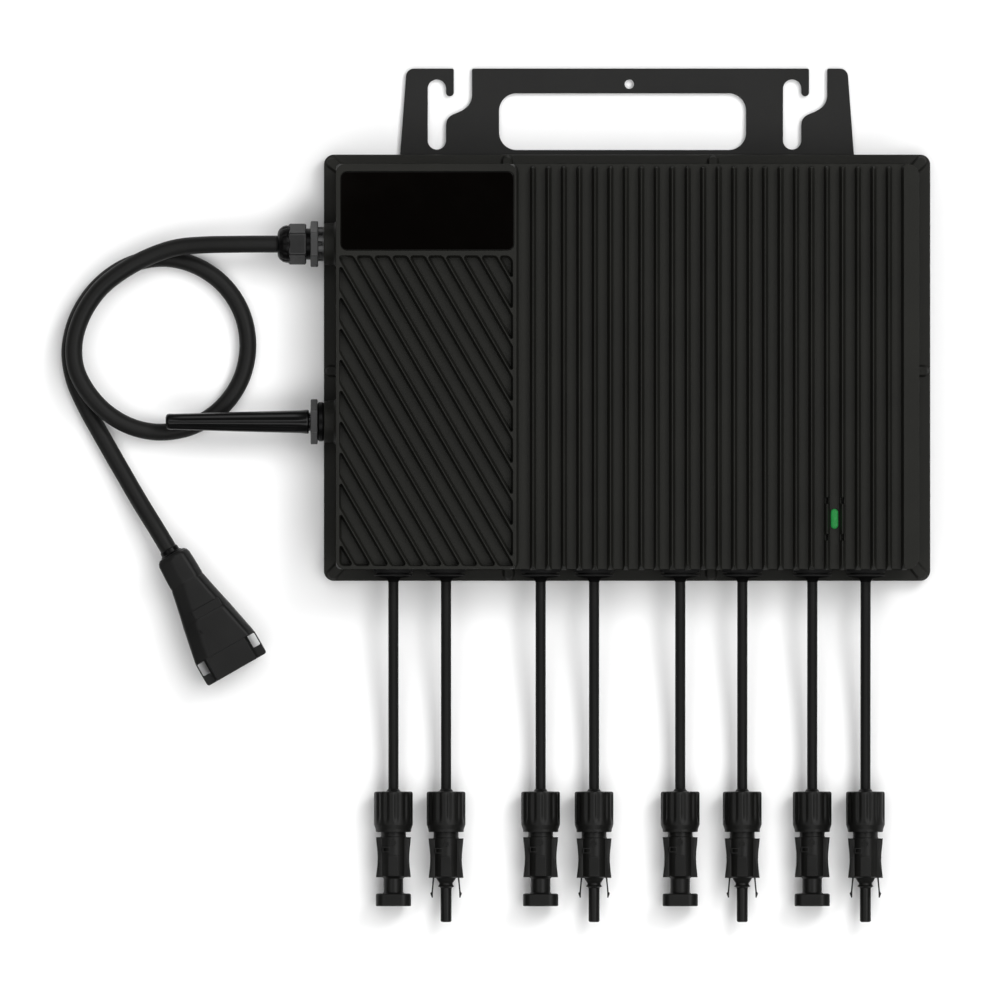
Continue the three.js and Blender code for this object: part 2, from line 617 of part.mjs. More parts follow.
// Out of the gland, over the top and down the left side, once round on the ground and under itself,
// then down to the plug.
const AC_ROUTE = [
  [-162.6, 61.7, 19], [-168.5, 61.7, 19], [-174.7, 61.7, 19], [-186, 61.7, 18.7], [-198, 61.6, 17.8],
  [-212, 61.3, 16], [-225.1, 60, 14.4], [-238, 55.8, 13.8], [-251, 49, 13.8], [-263, 39.6, 13.8],
  [-271.4, 27.6, 13.8], [-276, 14, 13.8], [-275.6, 0.5, 13.8], [-269.9, -11.6, 13.7], [-260, -22.4, 12.7],
  [-247.4, -29.6, 9.2], [-232.9, -32.2, 5.6], [-216.8, -29.1, 4.6], [-202.4, -19.6, 4.5], [-192.8, -5.4, 4.5],
  [-189.5, 11.3, 4.5], [-192.8, 28, 4.5], [-202.4, 42.2, 4.5], [-216.8, 51.6, 4.5], [-232.9, 54.7, 4.5],
  [-249.5, 51, 4.5], [-264.2, 40.6, 4.5], [-274.4, 25.6, 4.5], [-278.5, 9, 4.5], [-276.4, -6, 4.5],
  [-270.6, -19.4, 4.5], [-262, -35, 4.6], [-252.6, -51.4, 5.6], [-243.4, -67.2, 8.2], [-235, -80.8, 11],
  [-228.2, -92.2, 12.1], [-222.6, -102, 12.2],
];
const AC_CABLE_FACETS = { along: 80, round: 16 };
add("ac_cable", tube(AC_ROUTE, AC_CABLE_DIAMETER, AC_CABLE_FACETS.along, AC_CABLE_FACETS.round), "cable");

// The AC plug about its own axis: its mouth is at y = 0 and the lead enters at the +y end.
function octagon(y, halfWidth, halfHeight, flatX, flatZ) {
  return [
    [flatX, y, halfHeight], [halfWidth, y, flatZ], [halfWidth, y, -flatZ], [flatX, y, -halfHeight],
    [-flatX, y, -halfHeight], [-halfWidth, y, -flatZ], [-halfWidth, y, flatZ], [-flatX, y, halfHeight],
  ];
}

const SHELL = { loopHalfWidth: 16.9, loopHalfHeight: 6.5, loopEnd: 13, loopCorner: 1.6 };
const WINDOW = { inner: 12.2, outer: 16.35, start: 5.4, end: 11.9 }; // the slot in each side loop
const CAVITY = { halfWidth: 9.8, halfHeight: 8.2, corner: 2.4, depth: 24 };
const LEAD_SOCKET = { diameter: 9.9, start: 54, end: 68 };

// A hollow body that narrows to a collar for the lead, with a loop at each side of its mouth.
function plugShell() {
  const mouth = octagon(0, 12.2, 11.6, 10.6, 9.6);
  const shoulder = octagon(12, 12.4, 11.8, 10.8, 9.8);
  const wide = octagon(12, SHELL.loopHalfWidth, 11.8, 11.5, 6.5);
  const ridge = octagon(31, 13.2, 11, 8.6, 5.4);
  const neck = octagon(50.6, 9, 9, 4.4, 4.4);
  const collar = octagon(64.2, 8.5, 8.5, 3.8, 3.8);
  const end = octagon(66.5, 6.6, 6.6, 3.2, 3.2);
  const loops = plate(
    roundedRect(-SHELL.loopHalfWidth, SHELL.loopHalfWidth, 0, SHELL.loopEnd, SHELL.loopCorner),
    -SHELL.loopHalfHeight, SHELL.loopHalfHeight);
  const body = joined(
    hull(mouth, shoulder), hull(wide, ridge), hull(ridge, neck), hull(neck, collar), hull(collar, end), loops);
  const window = (x0, x1) => block(x0, x1, WINDOW.start, WINDOW.end, -14, 14);
  const c = CAVITY;
  const cavity = plate(
    roundedRect(-c.halfWidth, c.halfWidth, -c.halfHeight, c.halfHeight, c.corner), -1, c.depth, 1);
  return without(
    body,
    window(WINDOW.inner, WINDOW.outer),
    window(-WINDOW.outer, -WINDOW.inner),
    cavity.rotate([-90, 0, 0]),
    rod(LEAD_SOCKET.diameter / 2, LEAD_SOCKET.start, LEAD_SOCKET.end, 10));
}

const INSERT = { halfWidth: 9.4, halfHeight: 7.8, corner: 2, front: 10.6, rear: 23.6 };
const CONTACT_HOLES = { radius: 1.5, depth: 8.4, places: [[-5.4, 0], [0, 0], [5.4, 0], [-2.7, 4.4], [2.7, 4.4]] };

function plugInsert() {
  const n = INSERT;
  const core = plate(
    roundedRect(-n.halfWidth, n.halfWidth, -n.halfHeight, n.halfHeight, n.corner), n.front, n.rear, 1);
  const hole = rod(CONTACT_HOLES.radius, n.front - 1, n.front + CONTACT_HOLES.depth, 6);
  return without(core.rotate([-90, 0, 0]), ...CONTACT_HOLES.places.map(([x, z]) => hole.translate([x, 0, z])));
}

const plug = new THREE.Group();
plug.position.set(PLUG.x, PLUG.y, PLUG.z);
plug.rotation.z = THREE.MathUtils.degToRad(PLUG.turn);
inverter.add(plug);
add("ac_plug_shell", geometryOf(plugShell()), "plastic", plug);
add("ac_plug_insert", geometryOf(plugInsert()), "nylon", plug);

export default inverter;
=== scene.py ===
"""Looks of a micro inverter: ribbed cast case, hanging bracket, eight solar leads, AC lead and antenna.

Shapes are worked out in millimetres, in the frame of the CAD model, and made into meshes in metres.
"""

import math

import bmesh
import bpy
from mathutils import Matrix, Vector
from mathutils.geometry import tessellate_polygon


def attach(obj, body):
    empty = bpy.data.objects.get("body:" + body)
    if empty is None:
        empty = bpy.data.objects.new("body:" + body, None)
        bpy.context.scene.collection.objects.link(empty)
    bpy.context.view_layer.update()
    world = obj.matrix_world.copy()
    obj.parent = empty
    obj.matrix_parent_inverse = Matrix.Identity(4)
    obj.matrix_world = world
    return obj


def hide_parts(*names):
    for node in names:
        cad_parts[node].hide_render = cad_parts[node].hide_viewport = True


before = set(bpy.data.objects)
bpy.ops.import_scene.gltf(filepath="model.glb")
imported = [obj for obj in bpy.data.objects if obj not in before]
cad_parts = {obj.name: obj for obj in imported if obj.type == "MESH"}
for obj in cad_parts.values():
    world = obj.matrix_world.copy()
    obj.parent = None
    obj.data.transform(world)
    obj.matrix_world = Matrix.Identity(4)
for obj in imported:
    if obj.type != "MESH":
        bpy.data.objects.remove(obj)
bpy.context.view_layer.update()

MM = 0.001


def added(name, data):
    """A new object in the scene."""
    made = bpy.data.objects.new(name, data)
    bpy.context.collection.objects.link(made)
    return made


# ---------------- camera

VIEW_CENTRE = (-63.5, -66.1)
VIEW_WIDTH = 500
LENS = 1200
SENSOR = 36

camera = added("camera", bpy.data.cameras.new("camera"))
camera.data.lens = LENS
camera.data.sensor_width = SENSOR
camera.data.clip_end = 50
camera.location = (VIEW_CENTRE[0] * MM, VIEW_CENTRE[1] * MM, VIEW_WIDTH * LENS / SENSOR * MM)
bpy.context.scene.camera = camera

# ---------------- materials

CLOUD_SIZE = 28  # millimetres over which colour and gloss drift
SHADE_RANGE = (0.12, 0.42)  # where in the mottle the darkest and the lightest shade are
GLOSS_RANGE = (0.3, 0.7)
ROUGHNESS_DRIFT = 0.06
SMOOTHEST = 0.02
BUMP_STRENGTH = 0.6


def material(name, colour, rough, grain, lift, drift=0.2, metal=0.0, specular=0.5):
    """A coated, moulded or cast surface. Its colour and gloss drift from place to place, and a grain of
    the given size in millimetres lifts it by the given height."""
    made = bpy.data.materials.new(name)
    made.use_nodes = True
    nodes = made.node_tree.nodes
    links = made.node_tree.links
    shader = nodes["Principled BSDF"]
    shader.inputs["Metallic"].default_value = metal
    shader.inputs["Specular IOR Level"].default_value = specular

    place = nodes.new("ShaderNodeTexCoord")

    def noise(size, detail):
        made_noise = nodes.new("ShaderNodeTexNoise")
        made_noise.inputs["Scale"].default_value = 1 / (size * MM)
        made_noise.inputs["Detail"].default_value = detail
        links.new(place.outputs["Object"], made_noise.inputs["Vector"])
        return made_noise.outputs["Fac"]

    cloud = noise(CLOUD_SIZE, 4)
    fine = noise(grain, 3)

    mottle = nodes.new("ShaderNodeMath")
    mottle.operation = "MULTIPLY"
    links.new(cloud, mottle.inputs[0])
    links.new(fine, mottle.inputs[1])
    shades = nodes.new("ShaderNodeValToRGB")
    for shade, position, share in zip(shades.color_ramp.elements, SHADE_RANGE, (1 - drift, 1 + drift)):
        shade.position = position
        shade.color = (*(c * share for c in colour), 1)
    links.new(mottle.outputs["Value"], shades.inputs["Fac"])
    links.new(shades.outputs["Color"], shader.inputs["Base Color"])

    roughness = (max(SMOOTHEST, rough - ROUGHNESS_DRIFT), min(1, rough + ROUGHNESS_DRIFT))
    gloss = map_range(nodes, GLOSS_RANGE, roughness)
    links.new(cloud, gloss.inputs["Value"])
    links.new(gloss.outputs["Result"], shader.inputs["Roughness"])

    bump = nodes.new("ShaderNodeBump")
    bump.inputs["Strength"].default_value = BUMP_STRENGTH
    bump.inputs["Distance"].default_value = lift * MM
    links.new(fine, bump.inputs["Height"])
    links.new(bump.outputs["Normal"], shader.inputs["Normal"])
    return made


def grey(value):
    return (value, value, value)


def map_range(nodes, measured, wanted):
    """A node that takes one range of values to another."""
    made = nodes.new("ShaderNodeMapRange")
    for name, value in zip(("From Min", "From Max", "To Min", "To Max"), (*measured, *wanted)):
        made.inputs[name].default_value = value
    return made


CASE_PAINT = material("case_paint", (0.0122, 0.0122, 0.0105), 0.55, 0.45, 0.03, specular=0.1)
# Painted light: the rim and the screw bosses on it get the case's paint made lighter, so the rim looks less
# shaded by the tall walls beside it.
LIT_RIM_PAINT = material("rim_paint_painted_light", (0.0146, 0.0146, 0.0128), 0.55, 0.45, 0.03, specular=0.1)
BRACKET_PAINT = material("bracket_paint", (0.0142, 0.0142, 0.0138), 0.55, 0.4, 0.02, specular=0.1)
SEAL_RUBBER = material("seal_rubber", grey(0.009), 0.72, 0.3, 0.02, specular=0.15)
LIP_RUBBER = material("lip_rubber", grey(0.004), 0.9, 0.3, 0.02, specular=0.0)
BADGE_GLOSS = material("badge_gloss", (0.0012, 0.0009, 0.0007), 0.1, 9, 0.0005, drift=0.1, specular=0.12)
LIGHT_WINDOW = material("light_window", (0.012, 0.16, 0.032), 0.5, 1.2, 0.01, drift=0.35, specular=0.15)
GLAND_NYLON = material("gland_nylon", grey(0.013), 0.3, 0.5, 0.01, specular=0.25)
# Painted light: the gland's nylon made lighter for the gland's hex flange and the antenna's hex base, so they
# look brightly lit.
LIT_HEX_NYLON = material("hex_nylon_painted_light", grey(0.032), 0.32, 0.5, 0.01, specular=0.35)
GLAND_CAP = material("gland_cap", grey(0.0022), 0.3, 0.5, 0.006, specular=0.07)
ANTENNA_RUBBER = material("antenna_rubber", grey(0.003), 0.24, 0.6, 0.004, specular=0.18)
CABLE_SHEATH = material("cable_sheath", (0.0076, 0.0076, 0.0073), 0.5, 0.9, 0.02, specular=0.12)
THIN_SHEATH = material("thin_sheath", (0.0058, 0.0058, 0.0056), 0.5, 0.9, 0.02, specular=0.1)
PLUG_PLASTIC = material("plug_plastic", (0.0078, 0.0078, 0.0076), 0.42, 0.4, 0.02, specular=0.13)
INSERT_PLASTIC = material("insert_plastic", grey(0.06), 0.5, 0.4, 0.01)
CONNECTOR_PLASTIC = material("connector_plastic", (0.0051, 0.0051, 0.0047), 0.4, 0.4, 0.02, specular=0.14)
SCREW_STEEL = material("screw_steel", (0.45, 0.45, 0.44), 0.3, 0.25, 0.006, drift=0.15, metal=1.0)
CONTACT_METAL = material("contact_metal", (0.72, 0.66, 0.5), 0.25, 0.3, 0.003, drift=0.1, metal=1.0)
CIRCUIT_BOARD = material("circuit_board", (0.012, 0.09, 0.035), 0.45, 2.5, 0.04, drift=0.4)
FERRITE_CORE = material("ferrite_core", grey(0.035), 0.65, 0.5, 0.03)
CAPACITOR_CASE = material("capacitor_case", (0.045, 0.05, 0.06), 0.4, 0.8, 0.02)
COPPER_WINDING = material("copper_winding", (0.55, 0.2, 0.06), 0.3, 0.7, 0.2, drift=0.3, metal=0.9)
RELAY_CASE = material("relay_case", (0.02, 0.06, 0.2), 0.35, 0.6, 0.01)

lamp = LIGHT_WINDOW.node_tree.nodes["Principled BSDF"]
lamp.inputs["Emission Color"].default_value = (0.03, 0.55, 0.12, 1)
lamp.inputs["Emission Strength"].default_value = 0.1

# ---------------- shapes
# A shape is a pair: its points, and its faces as lists of point numbers.

CORE = 0.01  # how close to its axis a turned solid's profile starts and ends
WELD = 0.0004  # how close two points are when they are one
SHARPEST_TURN = 0.35  # keeps a narrow corner from running away when it is moved in


def clamped(value, low=0.0, high=1.0):
    return min(high, max(low, value))


def rounded(corners, closed=True, step=12):
    """An outline through (x, y, radius) corners, each cut off by its own arc."""
    outline = []
    last = len(corners) - 1
    for i, (x, y, radius) in enumerate(corners):
        corner = Vector((x, y))
        if radius == 0 or (not closed and i in (0, last)):
            outline.append(corner)
            continue
        back = (Vector(corners[i - 1][:2]) - corner).normalized()
        ahead = (Vector(corners[(i + 1) % len(corners)][:2]) - corner).normalized()
        half = back.angle(ahead) / 2
        centre = corner + (back + ahead).normalized() * radius / math.sin(half)
        start = corner + back * radius / math.tan(half) - centre
        end = corner + ahead * radius / math.tan(half) - centre
        sweep = math.atan2(start.x * end.y - start.y * end.x, start.dot(end))
        steps = max(1, math.ceil(abs(math.degrees(sweep)) / step))
        for k in range(steps + 1):
            outline.append(centre + Matrix.Rotation(sweep * k / steps, 2) @ start)
    return outline


def rectangle(left, right, bottom, top, radius, step=12):
    """A rectangle with round corners, anticlockwise."""
    corners = [(left, bottom), (right, bottom), (right, top), (left, top)]
    return rounded([(x, y, radius) for x, y in corners], step=step)


def circle(x, y, radius, sides=32):
    turns = [2 * math.pi * i / sides for i in range(sides)]
    return [Vector((x + radius * math.cos(t), y + radius * math.sin(t))) for t in turns]


def arc(x, y, radius, start, end, steps=14):
    """Points along an arc between two angles in degrees."""
    turns = [math.radians(start + (end - start) * i / steps) for i in range(steps + 1)]
    return [Vector((x + radius * math.cos(t), y + radius * math.sin(t))) for t in turns]


def hole(outline):
    """The outline run the other way round."""
    return outline[::-1]


def inset(outline, distance):
    """A closed outline moved to its left, which is inwards where it runs anticlockwise."""
    moved = []
    for i, here in enumerate(outline):
        arriving = (here - outline[i - 1]).normalized()
        leaving = (outline[(i + 1) % len(outline)] - here).normalized()
        left = Vector((-arriving.y - leaving.y, arriving.x + leaving.x)).normalized()
        squareness = max(SHARPEST_TURN, left.dot(Vector((-arriving.y, arriving.x))))
        moved.append(here + left * distance / squareness)
    return moved


def layered(outline, levels, holes=()):
    """A slab with shaped edges: at each (inset, z) level, from the bottom up, its outlines are moved in."""
    points = []
    faces = []
    loops = [outline, *holes]
    starts = []
    for loop in loops:
        starts.append(len(points))
        size = len(loop)
        for number, (distance, z) in enumerate(levels):
            base = len(points)
            points += [Vector((p.x, p.y, z)) for p in inset(loop, distance)]
            if number:
                for i in range(size):
                    after = (i + 1) % size
                    faces.append([base - size + i, base - size + after, base + after, base + i])
    for level in (0, len(levels) - 1):
        numbers = []
        lines = []
        for loop, start in zip(loops, starts):
            first = start + level * len(loop)
            numbers += range(first, first + len(loop))
            lines.append(points[first : first + len(loop)])
        faces += [[numbers[i] for i in triangle] for triangle in tessellate_polygon(lines)]
    return points, faces


def soft_slab(outline, low, high, edge=0.3, holes=()):
    """A slab whose top and bottom edges are rounded over."""
    near = edge * 0.3
    levels = [
        (edge, low), (near, low + near), (0, low + edge),
        (0, high - edge), (near, high - near), (edge, high),
    ]
    return layered(outline, levels, holes)


def lofted(rings):
    """Rings of equal length, joined in order and closed at both ends."""
    size = len(rings[0])
    points = [Vector(p) for ring in rings for p in ring]
    faces = [list(range(size)), list(range(len(points) - size, len(points)))]
    for number in range(1, len(rings)):
        base = number * size
        for i in range(size):
            after = (i + 1) % size
            faces.append([base - size + i, base - size + after, base + after, base + i])
    return points, faces


def turned(profile, sides=48, radius_at=None, hollow=False):
    """A solid turned about the Z axis from (radius, z) points. radius_at may change a point's radius by
    its angle. A hollow profile is a closed loop that stays off the axis."""
    rings = []
    for radius, z in profile:
        ring = []
        for i in range(sides):
            angle = 2 * math.pi * i / sides
            r = radius_at(angle, radius, z) if radius_at else radius
            ring.append(Vector((r * math.cos(angle), r * math.sin(angle), z)))
        rings.append(ring)
    if not hollow:
        return lofted(rings)
    points, faces = lofted([*rings, rings[0]])
    return points, faces[2:]


def open_profile(corners, step=20):
    """A profile to turn, from (radius, place, corner radius) points."""
    return [tuple(p) for p in rounded(corners, closed=False, step=step)]


def placed(shape, matrix):
    points, faces = shape
    return [matrix @ p for p in points], faces


def moved(shape, x=0.0, y=0.0, z=0.0):
    return placed(shape, Matrix.Translation((x, y, z)))


def merged(*shapes):
    points = []
    faces = []
    for more_points, more_faces in shapes:
        base = len(points)
        points += more_points
        faces += [[base + i for i in face] for face in more_faces]
    return points, faces


def frame_of(x_axis, y_axis, z_axis, origin):
    """The matrix that takes a shape's own axes to these, at this origin."""
    columns = Matrix((x_axis, y_axis, z_axis)).transposed().to_4x4()
    return Matrix.Translation(origin) @ columns


def out_to_left(y, z):
    """For a shape built along Z: it points along -X, and its own X axis points along +Y."""
    return frame_of((0, 1, 0), (0, 0, -1), (-1, 0, 0), (0, y, z))


def upright_on_side(side=1):
    """For an outline drawn from above, with Y along the axis of the shape that it is put on: it stands in
    the frame of a shape built along Z, and its own X axis points to this side."""
    return frame_of((side, 0, 0), (0, 0, 1), (0, 1, 0), (0, 0, 0))


def out_to_front(x, z):
    """For a shape built along Z: it points along -Y, and its own Y axis points up."""
    return frame_of((1, 0, 0), (0, 0, 1), (0, -1, 0), (x, 0, z))


def piece(name, shape, look, replaces=None, body="inverter", crease=32):
    """Makes the shape into an object that rides on a body, with its look as its material. Unless replaces is
    given, it stands for the CAD node of its own name, if there is one."""
    points, faces = shape
    mesh = bpy.data.meshes.new(name)
    mesh.from_pydata([p * MM for p in points], [], faces)
    work = bmesh.new()
    work.from_mesh(mesh)
    bmesh.ops.remove_doubles(work, verts=work.verts, dist=WELD * MM)
    bmesh.ops.dissolve_degenerate(work, dist=WELD * MM, edges=work.edges)
    bmesh.ops.recalc_face_normals(work, faces=work.faces)
    work.to_mesh(mesh)
    work.free()
    mesh.shade_smooth()
    mesh.set_sharp_from_angle(angle=math.radians(crease))
    mesh.materials.append(look)
    made = added(name, mesh)
    flat = made.modifiers.new("flat faces", "WEIGHTED_NORMAL")
    flat.keep_sharp = True
    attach(made, body)
    if replaces is None:
        replaces = [name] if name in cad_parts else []
    if replaces:
        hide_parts(*replaces)
    return made


# ---------------- routes of the leads

DC_X = [-116.75, -90.45, -43.2, -16.5, 26.55, 57.55, 92.5, 119.1]
DC_Z = 18.5
DC_CABLE_DIAMETER = 5.1
DC_ROUTE = [
    (-92.5, 18.5), (-99, 18.5), (-105.2, 18.5), (-112, 18.4), (-120, 18.0), (-129, 17.1), (-139, 15.8),
    (-150, 14.2), (-161, 12.6), (-171, 11.4), (-181, 10.5), (-190, 10.0), (-199, 9.8), (-208, 9.8),
    (-216.4, 9.8),
]
CONNECTOR_Z = 9.8

AC_AXIS = (61.7, 19)
ANTENNA_AXIS = (-27, 19)
AC_CABLE_DIAMETER = 8.54
AC_ROUTE = [
    (-162.6, 61.7, 19), (-168.5, 61.7, 19), (-174.7, 61.7, 19), (-186, 61.7, 18.7), (-198, 61.6, 17.8),
    (-212, 61.3, 16), (-225.1, 60, 14.4), (-238, 55.8, 13.8), (-251, 49, 13.8), (-263, 39.6, 13.8),
    (-271.4, 27.6, 13.8), (-276, 14, 13.8), (-275.6, 0.5, 13.8), (-269.9, -11.6, 13.7), (-260, -22.4, 12.7),
    (-247.4, -29.6, 9.2), (-232.9, -32.2, 5.6), (-216.8, -29.1, 4.6), (-202.4, -19.6, 4.5),
    (-192.8, -5.4, 4.5), (-189.5, 11.3, 4.5), (-192.8, 28, 4.5), (-202.4, 42.2, 4.5), (-216.8, 51.6, 4.5),
    (-232.9, 54.7, 4.5), (-249.5, 51, 4.5), (-264.2, 40.6, 4.5), (-274.4, 25.6, 4.5), (-278.5, 9, 4.5),
    (-276.4, -6, 4.5), (-270.6, -19.4, 4.5), (-262, -35, 4.6), (-252.6, -51.4, 5.6), (-243.4, -67.2, 8.2),
    (-235, -80.8, 11), (-228.2, -92.2, 12.1), (-222.6, -102, 12.2),
]
LEAD_STEP = 3.0  # how far apart the rings of a lead are
PLUG_PLACE = (-194.7, -150.8, 12.2)
PLUG_TURN = math.radians(29.77)


def smooth_line(points, gap):
    """A centripetal Catmull-Rom curve through the points, in steps of about the gap."""
    ends = [points[0] * 2 - points[1], *points, points[-1] * 2 - points[-2]]
    line = []
    for a, b, c, d in zip(ends, ends[1:], ends[2:], ends[3:]):
        t1 = (b - a).length ** 0.5
        t2 = t1 + (c - b).length ** 0.5
        t3 = t2 + (d - c).length ** 0.5
        steps = max(1, math.ceil((c - b).length / gap))
        for k in range(steps):
            t = t1 + (t2 - t1) * k / steps
            ab = a.lerp(b, t / t1)
            bc = b.lerp(c, (t - t1) / (t2 - t1))
            cd = c.lerp(d, (t - t2) / (t3 - t2))
            abc = ab.lerp(bc, t / t2)
            bcd = bc.lerp(cd, (t - t1) / (t3 - t1))
            line.append(abc.lerp(bcd, (t - t1) / (t2 - t1)))
    line.append(points[-1].copy())
    return line


def swept(line, diameter, sides=20):
    """A round tube along the line, with its ends rounded off."""
    across = Vector((0, 0, 1))
    rings = []
    last = len(line) - 1
    for i, here in enumerate(line):
        along = (line[min(i + 1, last)] - line[max(i - 1, 0)]).normalized()
        across = (across - along * across.dot(along)).normalized()
        side = along.cross(across)
        radius = diameter / 2 * (0.9 if i in (0, last) else 1)
        turns = [2 * math.pi * k / sides for k in range(sides)]
        rings.append([here + (across * math.cos(t) + side * math.sin(t)) * radius for t in turns])
    return lofted(rings)


def length_of(line):
    return sum((b - a).length for a, b in zip(line, line[1:]))


def lead(name, points, diameter, look):
    """One lead's piece, with its centre line and length in metres."""
    line = smooth_line([Vector(p) for p in points], LEAD_STEP)
    made = piece(name, swept(line, diameter), look)
    return made, [p * MM for p in line], length_of(line) * MM


dc_leads = []
for number, x in enumerate(DC_X, 1):
    route = [(x, y, z) for y, z in DC_ROUTE]
    dc_leads.append(lead(f"dc_cable_{number}", route, DC_CABLE_DIAMETER, THIN_SHEATH))
ac_lead = lead("ac_cable", AC_ROUTE, AC_CABLE_DIAMETER, CABLE_SHEATH)

# ---------------- case

CASE_HALF_WIDTH = 151.5
CASE_HALF_HEIGHT = 106.5
CASE_CORNER = 5
COVER_TOP = 4
RIM = (5.2, 9)
BODY_LEFT, BODY_RIGHT, BODY_BOTTOM, BODY_TOP = -145.3, 145.6, -100.6, 101.5
BODY_CORNER = 6
WALL = 4
CEILING = 31.5
FLOOR = 35
FRONT = 39.99

RIB_FOOT = 1.3
RIB_CREST = 0.3
RIB_FILLET = 0.35
UPRIGHT_FIRST = -47.05
UPRIGHT_PITCH = 7.72
UPRIGHT_COUNT = 24
UPRIGHT_TOP = 100.4
UPRIGHT_BOTTOM = BODY_BOTTOM - 0.5
RIB_HEIGHT = FRONT - FLOOR
BORDER_LEFT = 138.2
FRAME_RIGHT = -55.3
POCKETS = (-143.7, -57, -99.1, 55.9)
FIELD_CORNER = 4.0
SLANTED_PITCH = 8.92
SLANTED_ANGLE = math.radians(60)
SLANT_DOWN = Vector((math.cos(SLANTED_ANGLE), -math.sin(SLANTED_ANGLE), 0))  # down along the slanted ribs
SLANTED_START = -65.0
END_REACH = 3.4  # how far from the field's edge a pocket's end is
LEFT_UNDERCUT = 1.64  # how far along the ribs a pocket's left end moves at the floor to stand upright
LOWER_UNDERCUT = 0.95
LEFT_FADE = (25, 20)  # how far from the field's corner that starts, and over what length it grows
LOWER_FADE = (14, 12)
BADGE = (-143.2, -56.4, 58.3, 97.9)
BADGE_CORNER = 3.4
BADGE_DEPTH = 1.2

LED = (103.4, -75.5)
LED_SIZE = (3.8, 10)
LED_NOTCHES = [(-86.4, -82.9), (-68.1, -64.6)]  # from where to where the ribs beside it are notched

SCREW_PLACES = [
    (-147.5, 102.4), (147, 102.9), (-147, -103.1), (147, -103.1),
    (-60, 103.2), (43, 103.2), (-59.2, -103.1), (42, -103.1),
    (-148, -1.6), (148, -1.6),
]
BOSS_RADIUS = 3.1
BOSS_TOP = 11.2
BOSS_REACH = 4  # how far in under the walls a boss runs
BOSS_DRAFT = 1.05  # how far a boss's sides lean out down to the rim

BOARD_POSTS_X = (-128, 0, 128)
BOARD_POSTS_Y = (83, -79)

case_outline = rectangle(
    -CASE_HALF_WIDTH, CASE_HALF_WIDTH, -CASE_HALF_HEIGHT, CASE_HALF_HEIGHT, CASE_CORNER, 8)
body_outline = rectangle(BODY_LEFT, BODY_RIGHT, BODY_BOTTOM, BODY_TOP, BODY_CORNER, 8)
inner_outline = inset(body_outline, WALL)


def rim():
    low, high = RIM
    levels = [(0.5, low), (0.12, low + 0.15), (0, low + 0.5), (0, high - 0.7), (0.2, high - 0.2), (0.7, high)]
    return layered(case_outline, levels, [hole(inner_outline)])


def walls():
    """The case's shell, open at the back: its inside, its walls and the floor that the ribs stand on."""
    inside = [(WALL, CEILING), (WALL, RIM[1] - 0.2)]
    outside = [
        (-0.9, RIM[1] - 0.2), (-0.3, RIM[1] + 0.15), (0, RIM[1] + 0.9), (0, FLOOR - 0.9), (0, FLOOR - 0.25),
        (0.7, FLOOR),
    ]
    return lofted([
        [Vector((p.x, p.y, z)) for p in inset(body_outline, distance)] for distance, z in inside + outside])


def board_posts():
    """Posts that hang from the front wall and hold the board."""
    post = turned(open_profile([
        (CORE, 10.3, 0), (2.6, 10.3, 0.3), (3.3, 11.2, 0.5), (3.5, 29.5, 3), (5.4, 31.6, 0), (CORE, 31.6, 0),
    ]), 32)
    return [moved(post, x, y) for x in BOARD_POSTS_X for y in BOARD_POSTS_Y]


def across_rib(x, y, half):
    """Points across an upright rib, from (offset, height above the floor) points up one side of it."""
    outline = [(-offset, z) for offset, z in half] + [(offset, z) for offset, z in reversed(half)]
    return [Vector((x + offset, y, FLOOR + z)) for offset, z in outline]


def rib_section(x, y, foot, crest, top):
    """A rib's fillet, flank and rounded crest."""
    return across_rib(x, y, [
        (foot + RIB_FILLET, -0.1), (foot + 0.1, min(0.25, top * 0.2)),
        (crest + 0.06, top - 0.16), (crest - 0.08, top - 0.02), (crest * 0.4, top),
    ])


def cup_section(x, y):
    """A rib whose middle is cut away down to the floor between two low lips."""
    return across_rib(x, y, [
        (RIB_FOOT + RIB_FILLET, -0.1), (RIB_FOOT + 0.1, 0.3), (1.05, 2.6), (0.85, 2.6), (0.25, -0.05),
    ])


# A rib's ends, as (distance from the end, share of its full height, flare). The lower end flares and slopes
# down to the edge, and the upper end stands steeply.
LOWER_END = [
    (0, 0.02, 1.0), (0.5, 0.2, 0.8), (1.1, 0.45, 0.55), (1.8, 0.72, 0.3), (2.6, 0.92, 0.1), (3.4, 1, 0),
]
UPPER_END = [
    (0, 0.0, -0.9), (0.15, 0.3, -0.6), (0.4, 0.7, -0.3), (0.7, 0.88, -0.12), (1.1, 0.97, -0.03), (1.6, 1, 0),
]


def upright_rib(x):
    stations = [(UPRIGHT_BOTTOM + distance, rise, flare) for distance, rise, flare in LOWER_END]
    stations += [(UPRIGHT_TOP - distance, rise, flare) for distance, rise, flare in reversed(UPPER_END)]
    rings = []
    for y, rise, flare in stations:
        widening = (RIB_FOOT - RIB_CREST) * flare if flare > 0 else RIB_CREST * flare
        foot = RIB_FOOT + (RIB_FOOT - 0.2) * min(flare, 0)
        rings.append(rib_section(x, y, foot, RIB_CREST + widening, RIB_HEIGHT * rise))
    return lofted(rings)


def notched_rib(x):
    """A rib beside the status light, with a deep slot in its crest over each of LED_NOTCHES."""
    def section(y, rise, crest_share):
        return rib_section(x, y, RIB_FOOT, RIB_CREST * crest_share, RIB_HEIGHT * rise)

    low_end = [(0, 0.02, 2.2), (1.1, 0.45, 1.7), (3.4, 1, 1)]
    rings = [section(UPRIGHT_BOTTOM + distance, rise, crest) for distance, rise, crest in low_end]
    for low, high in LED_NOTCHES:
        cups = [cup_section(x, low + 0.25), cup_section(x, high - 0.25)]
        rings += [section(low, 1, 1), *cups, section(high, 1, 1)]
    high_end = [(1.6, 1, 1), (0.4, 0.7, 0.8), (0, 0.02, 0.3)]
    rings += [section(UPRIGHT_TOP - distance, rise, crest) for distance, rise, crest in high_end]
    return lofted(rings)


